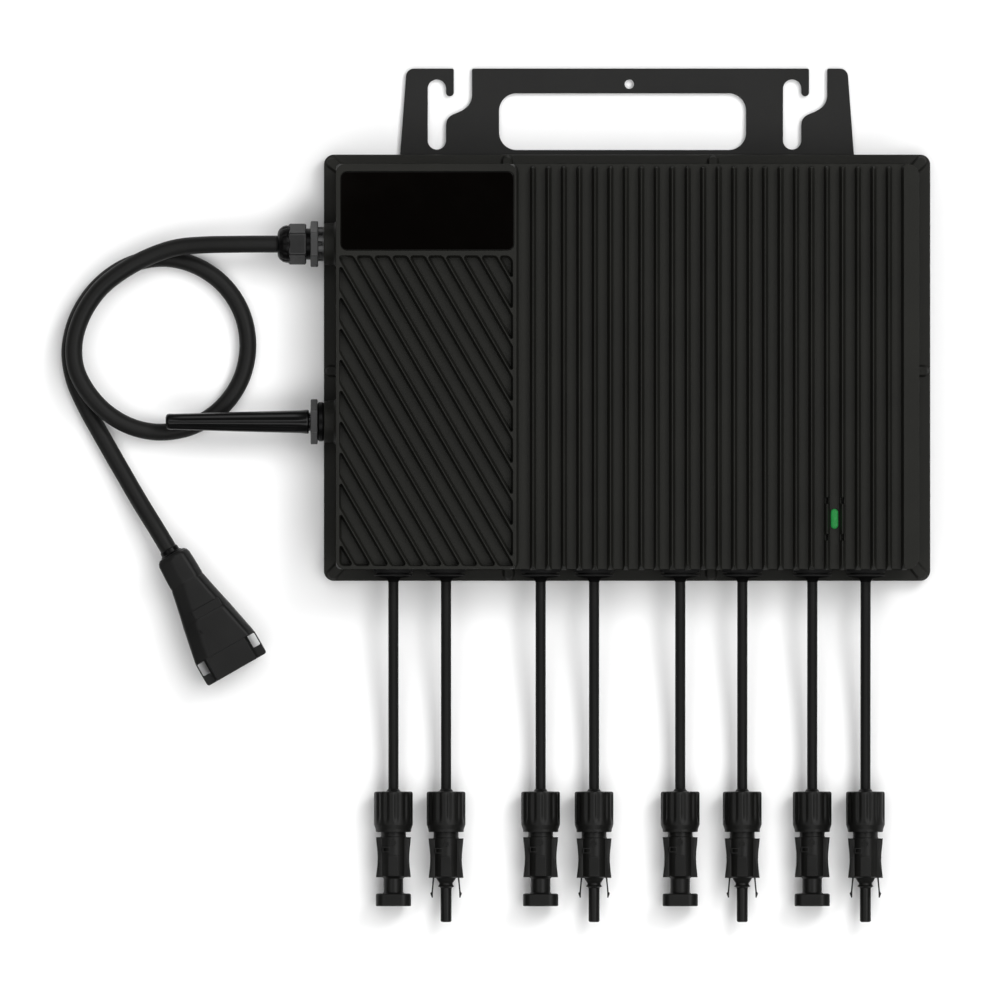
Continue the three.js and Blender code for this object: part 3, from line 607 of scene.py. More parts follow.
def upright_ribs():
    ribs = []
    for i in range(UPRIGHT_COUNT):
        x = UPRIGHT_FIRST + UPRIGHT_PITCH * i
        beside_light = abs(x - LED[0]) < UPRIGHT_PITCH * 0.75
        ribs.append(notched_rib(x) if beside_light else upright_rib(x))
    return ribs


EDGE_LEVELS = [
    (-RIB_FILLET - 0.85, FLOOR - 0.1), (-0.9, FLOOR + 0.25), (-0.08, FRONT - 0.25),
    (0.03, FRONT - 0.04), (0.12, FRONT),
]


def clipped(polygon, point, inward):
    """The part of a convex polygon on the inward side of a line through the point."""
    kept = []
    for i, here in enumerate(polygon):
        before = polygon[i - 1]
        side_before = (before - point).dot(inward)
        side_here = (here - point).dot(inward)
        if side_before * side_here < 0:
            kept.append(before.lerp(here, side_before / (side_before - side_here)))
        if side_here >= 0:
            kept.append(here)
    return kept


def pocket_outlines():
    """The openings between the slanted ribs, each with round corners."""
    left, right, bottom, top = POCKETS
    rightwards = Vector((-SLANT_DOWN.y, SLANT_DOWN.x))
    box = [Vector((left, bottom)), Vector((right, bottom)), Vector((right, top)), Vector((left, top))]
    outlines = []
    count = math.ceil((right - left + (top - bottom) / math.tan(SLANTED_ANGLE)) / SLANTED_PITCH) + 1
    for i in range(-1, count):
        right_rib = Vector((SLANTED_START - SLANTED_PITCH * i, top))
        left_rib = Vector((SLANTED_START - SLANTED_PITCH * (i + 1), top))
        opening = clipped(box, right_rib - rightwards * RIB_CREST, -rightwards)
        opening = clipped(opening, left_rib + rightwards * RIB_CREST, rightwards)
        if len(opening) >= 3:
            outlines.append(softened(opening))
    return [o for o in outlines if o]


POCKET_CORNERS = [(45, 0.9), (75, 1.4), (100, 2.4), (180, 2.2)]


def softened(polygon):
    """A pocket's outline with round corners, tighter where they are narrow, or nothing if it is too small.
    POCKET_CORNERS gives the radius for corners up to each angle."""
    cleaned = [p for i, p in enumerate(polygon) if (p - polygon[i - 1]).length > 0.05]
    sides = [(p - cleaned[i - 1]).length for i, p in enumerate(cleaned)]
    if len(cleaned) < 3 or min(sides) < 0.6 or sorted(sides)[1] < 4:
        return None
    corners = []
    for i, p in enumerate(cleaned):
        back = cleaned[i - 1] - p
        ahead = cleaned[(i + 1) % len(cleaned)] - p
        turn = back.angle(ahead)
        radius = next(r for limit, r in POCKET_CORNERS if turn <= math.radians(limit))
        if p.x > POCKETS[1] - 0.01 and p.y > POCKETS[3] - 0.01:
            radius = FIELD_CORNER
        room = min(back.length, ahead.length) * 0.48 * math.tan(turn / 2)
        corners.append((p.x, p.y, min(radius, room)))
    return rounded(corners, step=15)


def upright_ends(shape):
    """The frame with the pockets' left and lower ends upright. Points move along the ribs only, further the
    deeper they are, and less where the pockets are short. The frame's outer sides are upright too."""
    left, right, bottom, top = POCKETS
    points, faces = shape
    shifted = []
    for p in points:
        depth = max(0.0, (FRONT - 0.1 - p.z) / (FRONT - FLOOR))
        in_field = left - 0.5 < p.x < right and bottom - 0.5 < p.y < top + 0.5
        shift = 0.0
        if in_field and p.x < left + END_REACH:
            shift = -LEFT_UNDERCUT * clamped((p.y - bottom - LEFT_FADE[0]) / LEFT_FADE[1])
        elif in_field and p.y < bottom + END_REACH:
            shift = LOWER_UNDERCUT * clamped((p.x - left - LOWER_FADE[0]) / LOWER_FADE[1])
        x, y, z = p + SLANT_DOWN * shift * depth
        shifted.append(Vector((max(x, BODY_LEFT), clamped(y, BODY_BOTTOM, BODY_TOP), z)))
    return shifted, faces


def left_frame():
    """The raised frame round the badge and the slanted ribs. Its pockets run down to the floor."""
    outline = rectangle(BODY_LEFT, FRAME_RIGHT, BODY_BOTTOM, BODY_TOP, 4.5, 9)
    seat = rectangle(*BADGE, BADGE_CORNER, 9)
    pockets = pocket_outlines()
    top = upright_ends(layered(outline, EDGE_LEVELS, [hole(p) for p in pockets] + [hole(seat)]))
    seat_floor = layered(
        inset(seat, -0.9), [(0, FRONT - BADGE_DEPTH - 1.5), (0, FRONT - BADGE_DEPTH)])
    return merged(top, seat_floor)


def right_border():
    corners = [
        (BORDER_LEFT, BODY_BOTTOM, 0.6), (BODY_RIGHT, BODY_BOTTOM, BODY_CORNER),
        (BODY_RIGHT, BODY_TOP, BODY_CORNER), (BORDER_LEFT, BODY_TOP, 1.5),
    ]
    levels = [(0, FLOOR - 0.5), (0, FRONT - 0.2), (0.06, FRONT - 0.08), (0.2, FRONT - 0.05)]
    slab = layered(rounded(corners, step=8), levels)
    return merged(slab, upright_rib(BORDER_LEFT))


def boss_pad(x, y):
    """A pad round a screw's boss: a half round outer end and straight sides that run in under the wall."""
    inner = Vector((
        clamped(x, BODY_LEFT + BOSS_REACH, BODY_RIGHT - BOSS_REACH),
        clamped(y, BODY_BOTTOM + BOSS_REACH, BODY_TOP - BOSS_REACH)))
    inwards = (inner - Vector((x, y))).normalized()
    start = math.degrees(math.atan2(inwards.y, inwards.x)) + 90
    outer_end = arc(x, y, BOSS_RADIUS - BOSS_DRAFT, start, start + 180)
    inner_end = arc(*inner, BOSS_RADIUS - BOSS_DRAFT, start + 180, start + 360)
    return layered(outer_end + inner_end, [
        (-BOSS_DRAFT, RIM[1] - 0.1), (-BOSS_DRAFT + 0.1, RIM[1] + 0.1),
        (-0.05, BOSS_TOP - 0.2), (0.15, BOSS_TOP),
    ])


def side_boss(y, z):
    """The round boss on the left wall behind the gland or the antenna."""
    profile = open_profile([(12.2, 144.5, 0), (10.6, 146.4, 1.2), (10.4, 151.4, 0.6), (CORE, 151.4, 0)])
    return placed(turned(profile, 56), out_to_left(y, z))


CASE_PIECES = [
    ("rim", rim(), LIT_RIM_PAINT, 32),
    ("walls", walls(), CASE_PAINT, 32),
    ("left_frame", left_frame(), CASE_PAINT, 40),
    ("upright_ribs", merged(*upright_ribs()), CASE_PAINT, 50),
    ("right_border", right_border(), CASE_PAINT, 40),
    ("screw_bosses", merged(*[boss_pad(x, y) for x, y in SCREW_PLACES]), LIT_RIM_PAINT, 32),
    ("board_posts", merged(*board_posts()), CASE_PAINT, 32),
    ("gland_boss", side_boss(*AC_AXIS), CASE_PAINT, 32),
    ("antenna_boss", side_boss(*ANTENNA_AXIS), CASE_PAINT, 32),
]
for name, shape, look, crease in CASE_PIECES:
    piece("case_" + name, shape, look, ["front_case"], crease=crease)

# ---------------- badge and status light


def badge():
    """The plate, with a narrow gap round it in its seat."""
    left, right, bottom, top = BADGE
    gap = 0.3
    outline = rectangle(left + gap, right - gap, bottom + gap, top - gap, BADGE_CORNER - gap, 9)
    return soft_slab(outline, FRONT - BADGE_DEPTH + 0.05, FRONT - 0.35, 0.2)


def light_pill():
    x, y = LED
    half_width, half_length = LED_SIZE[0] / 2, LED_SIZE[1] / 2
    outline = rectangle(
        x - half_width, x + half_width, y - half_length, y + half_length, half_width - 0.01, 15)
    dome = [(0, FLOOR - 2), (0, FLOOR + 0.4), (0.2, FLOOR + 0.8), (0.7, FLOOR + 1.1), (1.4, FLOOR + 1.2)]
    return layered(outline, dome)


piece("badge_panel", badge(), BADGE_GLOSS)
piece("led_lens", light_pill(), LIGHT_WINDOW)

# ---------------- back cover, screws and bracket

RECESS_GAP = 0.3  # how far the cover stays clear of the bracket
BRACKET_THICKNESS = 2.5
BRACKET_FOOT = 78
BRACKET_FOOT_HALF = 113.4
BRACKET_SHOULDER = 107
BRACKET_TOP = 149.59
BRACKET_TOP_HALF = 110.5
BRACKET_CORNER = 4
HOOK_LEFTS = (78, -99.6)  # the left edges of the two hook slots
# A hook slot's parts, with x from its left edge.
HOOK_SLOT_RADIUS = 4.55
HOOK_SLOT_FOOT = 113.65
HOOK_SLOT_HEAD = 139.6
HOOK_TIP = (11.05, 137.7, 1.95)
HOOK_THROAT = [(9.1, 121.2), (9.3, 124.6), (10.7, 126.0), (13.85, 127.2)]
HOOK_RISE = [(13.85, 127.2), (18.5, 129.0), (22.1, 131.0), (22.1, 136.9)]
HOOK_MOUTH = (13.0, 22.1)
HOOK_MOUTH_CORNER = 0.8
HAND_SLOT = (-63.95, 59.5, 108.9, 137.2)
HAND_SLOT_CORNER = 8.7
HANG_HOLE = (1.15, 141.8)
HANG_HOLE_RADIUS = 2.35
BRACKET_SCREWS = [(-90, 88), (-30, 88), (30, 88), (90, 88)]
SCREW_HOLE = 3.0
SCREW_HEAD_RADIUS = 2.85
SOCKET_RADIUS = 1.45

free_screws = [p for p in SCREW_PLACES if not (p[1] > BRACKET_FOOT and abs(p[0]) < BRACKET_FOOT_HALF)]


def cover():
    """A plate with a thick skin behind it, which is cut away where the bracket lies."""
    recess_side = BRACKET_FOOT_HALF + RECESS_GAP
    recess_foot = BRACKET_FOOT - RECESS_GAP
    recess_depth = BRACKET_THICKNESS + RECESS_GAP
    skin_outline = rounded([
        (-CASE_HALF_WIDTH, -CASE_HALF_HEIGHT, CASE_CORNER), (CASE_HALF_WIDTH, -CASE_HALF_HEIGHT, CASE_CORNER),
        (CASE_HALF_WIDTH, CASE_HALF_HEIGHT, CASE_CORNER), (recess_side, CASE_HALF_HEIGHT, 0.5),
        (recess_side, recess_foot, 0.5), (-recess_side, recess_foot, 0.5),
        (-recess_side, CASE_HALF_HEIGHT, 0.5), (-CASE_HALF_WIDTH, CASE_HALF_HEIGHT, CASE_CORNER),
    ], step=9)
    holes = [hole(circle(x, y, SCREW_HOLE)) for x, y in free_screws]
    skin = soft_slab(skin_outline, 0, recess_depth + 0.1, 0.35, holes)
    plate = layered(
        case_outline,
        [(0.1, recess_depth), (0, recess_depth + 0.2), (0, COVER_TOP - 0.3), (0.3, COVER_TOP)])
    return merged(skin, plate)


piece("back_cover", cover(), CASE_PAINT)


def screw_head(x, y, depth):
    """A countersunk screw seen from behind: a slightly crowned head with a six-lobed socket."""
    lobes = [p * (1 + 0.14 * math.cos(6 * math.atan2(p.y, p.x))) for p in circle(0, 0, SOCKET_RADIUS, 36)]
    levels = [(0.9, depth + 1.4), (0.05, depth + 0.35), (0, depth + 0.25), (0.3, depth)]
    head = layered(circle(0, 0, SCREW_HEAD_RADIUS, 36), levels, [hole(lobes)])
    socket_floor = layered(circle(0, 0, SOCKET_RADIUS + 0.45, 24), [(0, depth + 0.9), (0, depth + 1.4)])
    return moved(merged(head, socket_floor), x, y)


screws = [screw_head(x, y, 0.35) for x, y in free_screws]
screws += [screw_head(x, y, 0.15) for x, y in BRACKET_SCREWS]
piece("back_screws", merged(*screws), SCREW_STEEL)


def bezier(a, b, c, d, steps):
    curve = []
    for i in range(steps + 1):
        t = i / steps
        s = 1 - t
        curve.append(a * s**3 + b * 3 * s * s * t + c * 3 * s * t * t + d * t**3)
    return curve


def hook_notch(left):
    """The hook slot's edge, from the top edge's left side down, round the tip and back up on the right."""
    def curve(points, steps):
        return bezier(*[Vector((left + x, y)) for x, y in points], steps)

    tip_x, tip_y, tip_radius = HOOK_TIP
    middle = left + HOOK_SLOT_RADIUS
    tip = arc(left + tip_x, tip_y, tip_radius, 0, -180, 10)
    upper = arc(middle, HOOK_SLOT_HEAD, HOOK_SLOT_RADIUS, 0, 180, 16)
    lower = arc(middle, HOOK_SLOT_FOOT, HOOK_SLOT_RADIUS, 180, 360, 16)
    return tip + upper + lower + curve(HOOK_THROAT, 8) + curve(HOOK_RISE, 14)[1:]


def bracket_outline():
    """Anticlockwise from the bottom left; the hook slots open in the top edge."""
    half, top_half, top = BRACKET_FOOT_HALF, BRACKET_TOP_HALF, BRACKET_TOP
    corner, mouth = BRACKET_CORNER, HOOK_MOUTH_CORNER
    outline = [Vector((-half, BRACKET_FOOT)), Vector((half, BRACKET_FOOT)), Vector((half, BRACKET_SHOULDER))]
    outline += arc(top_half - corner, top - corner, corner, 4, 90, 8)
    for left in HOOK_LEFTS:
        outline += arc(left + HOOK_MOUTH[1] + mouth, top - mouth, mouth, 90, 180, 4)
        outline += hook_notch(left)[::-1]
        outline += arc(left + HOOK_MOUTH[0] - mouth, top - mouth, mouth, 0, 90, 4)
    outline += arc(-top_half + corner, top - corner, corner, 90, 176, 8)
    outline.append(Vector((-half, BRACKET_SHOULDER)))
    return outline


bracket_holes = [
    hole(rectangle(*HAND_SLOT, HAND_SLOT_CORNER, 8)),
    hole(circle(*HANG_HOLE, HANG_HOLE_RADIUS, 28)),
    *[hole(circle(x, y, SCREW_HOLE)) for x, y in BRACKET_SCREWS],
]
bracket = soft_slab(bracket_outline(), 0, BRACKET_THICKNESS, 0.28, bracket_holes)
piece("mounting_bracket", bracket, BRACKET_PAINT)

# ---------------- AC gland


def hexagon(across_corners, corner=0.9):
    """Two of its corners lie on the X axis."""
    half = across_corners / 2
    turns = [math.pi * i / 3 for i in range(6)]
    return rounded([(half * math.cos(t), half * math.sin(t), corner) for t in turns], step=20)


def chamfered(outline, low, high, chamfer, edge=0.25):
    """A prism with both ends cut back by a chamfer."""
    return layered(outline, [
        (chamfer + edge, low), (chamfer, low + 0.1), (0.1, low + chamfer * 0.75), (0, low + chamfer),
        (0, high - chamfer), (0.1, high - chamfer * 0.75), (chamfer, high - 0.1), (chamfer + edge, high),
    ])


RING_RADIUS = 8.55
RING_TEETH = 10
RING_TOOTH_DEPTH = 2.2
FLANGE_ACROSS_CORNERS = 23.2
GLAND_NUT_ACROSS_CORNERS = 21.0
CAP_FLUTES = 12
CAP_FLUTE_DEPTH = 0.35


def tooth_gaps(angle, radius, z):
    """Square gaps round the locking ring behind the gland's flange."""
    in_ring = 152.0 < z < 154.2 and radius > RING_RADIUS - 0.35
    in_gap = math.cos(RING_TEETH * angle + 2.9) > 0.35
    return radius - RING_TOOTH_DEPTH if in_ring and in_gap else radius


ac_place = out_to_left(*AC_AXIS)
ring_profile = [(CORE, 151.3)]
ring_profile += [(RING_RADIUS, z) for z in (151.3, 151.95, 152.1, 154.1, 154.25)]
ring_profile += [(8.4, 154.6), (CORE, 154.6)]
gland_base = merged(
    turned(ring_profile, 160, tooth_gaps),
    chamfered(hexagon(FLANGE_ACROSS_CORNERS), 154.3, 158.2, 0.35),
)
gland_neck = turned(open_profile([
    (CORE, 158, 0), (7.75, 158, 0.2), (7.75, 160.9, 0.2), (6.9, 161, 0.1), (6.9, 166, 0), (CORE, 166, 0),
]), 56)
piece("ac_gland_neck", placed(gland_neck, ac_place), GLAND_CAP, ["ac_gland_body"])
piece("ac_gland_body", placed(gland_base, ac_place), LIT_HEX_NYLON)


def cap_flutes(angle, radius, z):
    """Shallow flutes round the cap's shoulder."""
    if not 169.6 < z < 173.4:
        return radius
    return radius - CAP_FLUTE_DEPTH * max(0.0, math.cos(CAP_FLUTES * angle)) ** 4


cap = turned(open_profile([
    (9.2, 168.2, 0), (9.45, 170.0, 0.7), (9.0, 171.9, 1.6), (7.6, 173.6, 1.2),
    (6.2, 174.4, 0.5), (4.85, 174.65, 0.25), (4.75, 171.5, 0.2), (6.6, 170.5, 0.2), (7.6, 168.2, 0),
], 12), 96, cap_flutes, hollow=True)
gland_hex = layered(
    hexagon(GLAND_NUT_ACROSS_CORNERS, 1.6),
    [(0.8, 160.25), (0.2, 160.6), (0, 161), (0, 168.2), (0.2, 168.7), (0.9, 169.2), (1.2, 169.25)],
    [hole(circle(0, 0, 8.3, 36))],
)
piece("ac_gland_nut", placed(gland_hex, ac_place), GLAND_NYLON, body="gland_nut", crease=28)
piece("ac_gland_cap", placed(cap, ac_place), GLAND_CAP, body="gland_nut", crease=28)
seal = turned(open_profile([
    (4.35, 162, 0), (6.3, 162, 0.3), (6.3, 173, 0.5), (5.0, 174.0, 0.4), (4.35, 173.6, 0.1),
]), 48, hollow=True)
piece("ac_gland_seal", placed(seal, ac_place), SEAL_RUBBER)

# ---------------- antenna

ANTENNA_ROOT_RADIUS = 6.0
ANTENNA_TIP_RADIUS = 4.1
ANTENNA_ROOT = 159.4
ANTENNA_END = 230.5
ANTENNA_ACROSS_CORNERS = 22.8
ANTENNA_FLATS = 6

antenna_place = out_to_left(*ANTENNA_AXIS)
antenna_washer = turned(open_profile([
    (CORE, 151.4, 0), (9.4, 151.4, 0.2), (9.8, 152.2, 0.4), (9.8, 153.8, 0.4), (9.3, 154.4, 0.3),
    (8.6, 154.7, 0), (CORE, 154.7, 0),
]), 56)
antenna_hexagon = chamfered(hexagon(ANTENNA_ACROSS_CORNERS), 154.6, 158.1, 0.3)
piece("antenna_base", placed(antenna_hexagon, antenna_place), LIT_HEX_NYLON)
piece("antenna_washer", placed(antenna_washer, antenna_place), GLAND_CAP, ["antenna_base"])


def fluted_rod(angle, radius, z):
    """Broad flat sides that run the length of the rod and fade out at its ends."""
    fade = clamped((z - ANTENNA_ROOT - 1.1) / 2) * clamped((ANTENNA_END - 1.5 - z) / 4)
    flat = abs(math.cos(ANTENNA_FLATS * angle / 2 + 0.25)) ** 3
    return radius * (1 - 0.1 * fade * flat)


def antenna_rod():
    """A shank in the base, then a rod that tapers to a round tip with a slight swell on the way."""
    root, tip, end = ANTENNA_ROOT_RADIUS, ANTENNA_TIP_RADIUS, ANTENNA_END
    profile = [(CORE, 158.2), (4.6, 158.2), (4.6, 158.9), (5.6, 159.0), (root, ANTENNA_ROOT)]
    low, high = ANTENNA_ROOT + 1, end - 2
    for i in range(25):
        share = i / 24
        swell = 0.1 * math.sin(math.pi * min(1, share * 1.2))
        profile.append((root + (tip - root) * share + swell, low + (high - low) * share))
    profile += [(tip - 0.25, end - 0.9), (tip - 0.9, end - 0.25), (tip - 1.9, end), (CORE, end)]
    return turned(profile, 96, fluted_rod)


piece("antenna_rod", placed(antenna_rod(), antenna_place), ANTENNA_RUBBER, body="antenna", crease=60)

# ---------------- DC grommets

COLLAR = open_profile([
    (CORE, 99, 0), (9.75, 99, 0), (9.75, 102.3, 0.15), (8.0, 102.45, 0.1), (8.0, 103.05, 0.1),
    (9.7, 103.2, 0.15), (9.7, 103.9, 0.15), (9.2, 104.05, 0.1), (CORE, 104.05, 0),
], 15)
LIP = open_profile([
    (CORE, 103.9, 0), (9.3, 103.9, 0), (9.0, 104.15, 0.1), (6.5, 104.7, 0.8), (3.6, 105.0, 0.4),
    (3.0, 105.7, 0.4), (2.62, 107.0, 0.2), (2.4, 107.1, 0), (CORE, 107.1, 0),
], 15)


def round_leads(profile, pair_x):
    """The turned profile round each of the two leads."""
    return [placed(turned(profile, 56), out_to_front(x, DC_Z)) for x in pair_x]


def inner_bar(x0, x1):
    """The bar inside the wall that joins a pair's two collars."""
    return soft_slab(rectangle(x0 - 9, x1 + 9, -96.3, -93, 0.6), DC_Z - 7.5, DC_Z + 7.5, 0.5)


for pair in range(4):
    name = f"dc_grommet_{pair + 1}"
    pair_x = DC_X[2 * pair:2 * pair + 2]
    collars = merged(*round_leads(COLLAR, pair_x), inner_bar(*pair_x))
    piece(name, collars, SEAL_RUBBER)
    piece(name + "_lips", merged(*round_leads(LIP, pair_x)), LIP_RUBBER, [name])

# ---------------- DC connectors
# Built along Z, where z is the distance out to the front: -Y in the model.

NUT_REAR = 211.8
NUT_FRONT = 232
NUT_RADIUS = 9.7
NUT_FLUTES = 12
NUT_FLUTE_DEPTH = 0.6
NUT_STATIONS = 14
NUT_STATION_GAP = 1.13
SOCKET_GRIPS = (234.6, 254.6)  # from where to where the finger grips are
PLUG_GRIPS = (235.2, 254.9)
GRIP_RADIUS = 8.75
GRIP_WAIST = 0.85  # how much narrower the grips are between their ends
LATCH_HALF_WIDTH = 2.05


def nut_flutes(angle, radius, z):
    """Broad flutes that run out before the smooth band at the nut's front end."""
    if radius < 8.6:
        return radius
    fade = clamped((z - NUT_REAR - 0.2) / 0.9) * clamped((NUT_FRONT - 4.2 - z) / 3.2)
    groove = (0.5 + 0.5 * math.cos(NUT_FLUTES * angle + 1.9)) ** 2.5
    return radius - NUT_FLUTE_DEPTH * fade * groove


def union_nut():
    """A fluted cap nut with a collar that hugs the lead."""
    stations = [(NUT_RADIUS, NUT_REAR + 0.9 + i * NUT_STATION_GAP, 0) for i in reversed(range(NUT_STATIONS))]
    profile = open_profile([
        (8.0, NUT_FRONT, 0), (8.75, NUT_FRONT, 0.3), (8.9, NUT_FRONT - 1.4, 0.2),
        (9.65, NUT_FRONT - 3.6, 1.0), *stations,
        (9.4, NUT_REAR + 0.2, 0), (8.7, NUT_REAR, 0.1), (3.6, NUT_REAR - 0.1, 0.3),
        (2.75, NUT_REAR - 1.3, 0.1), (2.6, NUT_REAR - 1.2, 0.05), (2.6, NUT_REAR + 3.4, 0.2),
        (8.0, NUT_REAR + 3.4, 0.2),
    ], 15)
    return turned(profile, 120, nut_flutes, hollow=True)


def grip(side, rear, front, tick):
    """A finger grip: a block along the housing's side, waisted between its ends, with a cross bar."""
    count = 14
    outline = []
    for i in range(count + 1):
        share = i / count
        waist = math.sin(math.pi * min(1, share * 0.92 + 0.02)) ** 1.5
        outline.append(Vector((GRIP_RADIUS - GRIP_WAIST * waist, rear + (front - rear) * share)))
    outline += [Vector((4.5, front)), Vector((4.5, rear))]
    block = layered(outline, [(0.9, -3.5), (0.3, -3.2), (0, -2.6), (0, 2.6), (0.3, 3.2), (0.9, 3.5)])
    bar = soft_slab(rectangle(6.4, 8.0, rear + tick - 0.2, rear + tick + 0.2, 0.15, 30), -3.75, 3.75, 0.1)
    return placed(merged(block, bar), upright_on_side(side))


def upper_marks(rear, front):
    """A small moulded ring, a framed window and a raised strip on the housing's top."""
    ring_profile = open_profile([(0.8, 6.0, 0), (1.55, 6.0, 0), (1.5, 6.95, 0.15), (0.8, 6.95, 0.15)])
    ring = turned(ring_profile, 28, hollow=True)
    strip = soft_slab(rectangle(-2.6, 2.6, rear + 9, front - 0.8, 0.5), 5.0, 6.85, 0.3)
    window = soft_slab(rectangle(-1.85, 1.85, -1.35, 1.35, 0.4, 30), 4.2, 6.3, 0.12,
                       [hole(rectangle(-1.4, 1.4, -0.95, 0.95, 0.2, 30))])
    up = upright_on_side()
    return [
        placed(moved(ring, 0, rear + 2.6), up),
        placed(strip, up),
        placed(moved(window, -3.6, rear + 6.1), up),
    ]


def housing_core(rear):
    """The round body behind the nut, as far as the front of the grips."""
    return [
        (CORE, 217, 0), (7.3, 217, 0.3), (7.3, 230.8, 0.2), (6.2, 231.2, 0.2), (6.2, rear - 0.6, 0.3),
        (6.55, rear, 0.3),
    ]


def socket_shape():
    rear, front = SOCKET_GRIPS
    bore = 3.25
    core = turned(open_profile([
        *housing_core(rear), (6.5, front - 0.6, 0.4), (5.6, front, 0.3), (4.88, front + 0.7, 0.6),
        (4.88, 262.2, 0.6), (5.8, 262.9, 0.3), (5.8, 263.5, 0), (bore, 263.5, 0.1), (bore, 250, 0),
        (CORE, 250, 0),
    ], 15), 64)
    flange = layered(
        rectangle(-8.8, 8.8, -8, 8, 5, 9),
        [(1.1, 262.75), (0.4, 262.9), (0.1, 263.2), (0, 263.7), (0, 268.6), (0.12, 268.88), (0.4, 269)],
        [hole(circle(0, 0, bore, 36))])
    grips = [grip(side, rear, front, 11.9) for side in (-1, 1)]
    return merged(core, flange, *grips, *upper_marks(rear, front))


def plug_shape():
    rear, front = PLUG_GRIPS
    core = turned(open_profile([
        *housing_core(rear), (6.5, front - 0.6, 0.4), (4.9, front + 0.1, 0.2), (4.5, 255.8, 0.5),
        (3.3, 257.6, 0.5), (3.4, 258.3, 0.3), (3.7, 258.7, 0.2), (4.1, 259.2, 0.1), (2.9, 259.8, 0.2),
        (2.75, 260.6, 0.3), (2.75, 276.4, 0.3), (2.2, 277, 0.2), (1.7, 277, 0.15), (1.6, 276.5, 0.1),
        (1.6, 262, 0), (CORE, 262, 0),
    ], 15), 64)
    grips = [grip(side, rear, front, 9.5) for side in (-1, 1)]
    return merged(core, *grips, *upper_marks(rear, front))


def latch_shape(side):
    """A thin spring blade that leans outwards to a barbed tip."""
    blade = [
        (5.7, 251.1), (6.6, 251.1), (6.65, 254.6), (6.95, 258.5), (7.3, 261.9), (7.85, 262.5), (7.8, 263.0),
        (7.1, 264.9), (6.6, 264.7), (6.5, 261.5), (6.15, 257.5), (5.8, 254.8),
    ]
    outline = rounded([(x, z, 0.12) for x, z in blade], step=30)
    return placed(soft_slab(outline, -LATCH_HALF_WIDTH, LATCH_HALF_WIDTH, 0.15), upright_on_side(side))


def contact_ring(low, high, inner, outer):
    profile = open_profile([(inner, low, 0), (outer, low, 0), (outer, high, 0.1), (inner, high, 0.1)])
    return turned(profile, 28, hollow=True)


nut_shape = union_nut()
SOCKETS = ("dc_socket", socket_shape(), contact_ring(252, 262, 1.9, 2.9), {})
PLUGS = (
    "dc_plug", plug_shape(), contact_ring(263, 275.5, 0.9, 1.5),
    {"left": latch_shape(-1), "right": latch_shape(1)},
)


def connector_part(name, shape, place, body="inverter", crease=32):
    return piece(name, placed(shape, place), CONNECTOR_PLASTIC, body=body, crease=crease)


for number, (x, (cable, line, length)) in enumerate(zip(DC_X, dc_leads), 1):
    kind, housing, contact, latches = SOCKETS if number % 2 else PLUGS
    place = out_to_front(x, CONNECTOR_Z)
    on_lead = [
        connector_part(f"dc_nut_{number}", nut_shape, place, f"nut_{number}", crease=45),
        connector_part(f"{kind}_{number}", housing, place),
    ]
    for side, shape in latches.items():
        on_lead.append(connector_part(f"dc_latch_{number}_{side}", shape, place, f"latch_{number}_{side}"))
    on_lead.append(piece(f"dc_contact_{number}", placed(contact, place), CONTACT_METAL))

# ---------------- AC plug
# Built with its mouth at y = 0 and the lead at the +y end, as the CAD does.

LEFT_FACET = 7.7  # how far the sloping facets reach in from the plug's sides
RIGHT_FACET = 3.1
BAND_LEAN = -4.4  # degrees that the raised band tips, to lie on the tapering shell


def shell_ring(y, half_width, half_height, flat_z, corner=0.8):
    """An octagon with round corners, always of the same number of points. Its left facet is the broader."""
    flat_left = max(0.6, half_width - LEFT_FACET)
    flat_right = half_width - min(RIGHT_FACET, 0.36 * half_width)
    under = (flat_left + flat_right) / 2
    corners = [
        (flat_right, half_height), (-flat_left, half_height), (-half_width, flat_z + 0.17 * half_height),
        (-half_width, -flat_z), (-under, -half_height), (under, -half_height), (half_width, -flat_z),
        (half_width, flat_z),
    ]
    ring = []
    for i, (x, z) in enumerate(corners):
        here = Vector((x, z))
        before = Vector(corners[i - 1])
        after = Vector(corners[(i + 1) % len(corners)])
        start = here + (before - here).normalized() * corner
        end = here + (after - here).normalized() * corner
        for t in (0, 1 / 3, 2 / 3, 1):
            p = start * (1 - t) ** 2 + here * 2 * t * (1 - t) + end * t * t
            ring.append(Vector((p.x, y, p.y)))
    return ring


# From the mouth to the lead: place, half width, half height, how far up the side is upright, corner.
PLUG_SECTIONS = [
    (12.0, 15.9, 10.8, 6.2, 0.6), (12.3, 16.8, 11.75, 6.5, 1.2), (13.5, 16.7, 11.8, 6.4, 1.6),
    (22, 15.0, 11.4, 5.9, 2.0), (30.2, 13.35, 11.05, 5.4, 2.0), (31.4, 13.1, 10.7, 5.3, 2.0),
    (32.4, 12.85, 10.45, 5.2, 2.0), (42, 10.7, 9.5, 4.7, 1.8), (49.6, 9.15, 8.95, 4.3, 1.6),
    (50.4, 8.85, 8.7, 4.1, 1.6), (51.0, 8.85, 8.7, 4.1, 1.6), (51.8, 9.0, 8.95, 4.35, 1.6),
    (58, 8.85, 8.8, 4.1, 1.8), (63.4, 8.6, 8.5, 3.9, 1.8), (65.0, 8.0, 7.9, 3.6, 1.3),
    (66.1, 6.9, 6.8, 3.1, 1.2), (66.5, 5.6, 5.6, 2.5, 1.1),
]


def along_plug(shape):
    """For a shape built along Z: it points along the plug's own Y axis."""
    return placed(shape, upright_on_side(-1))


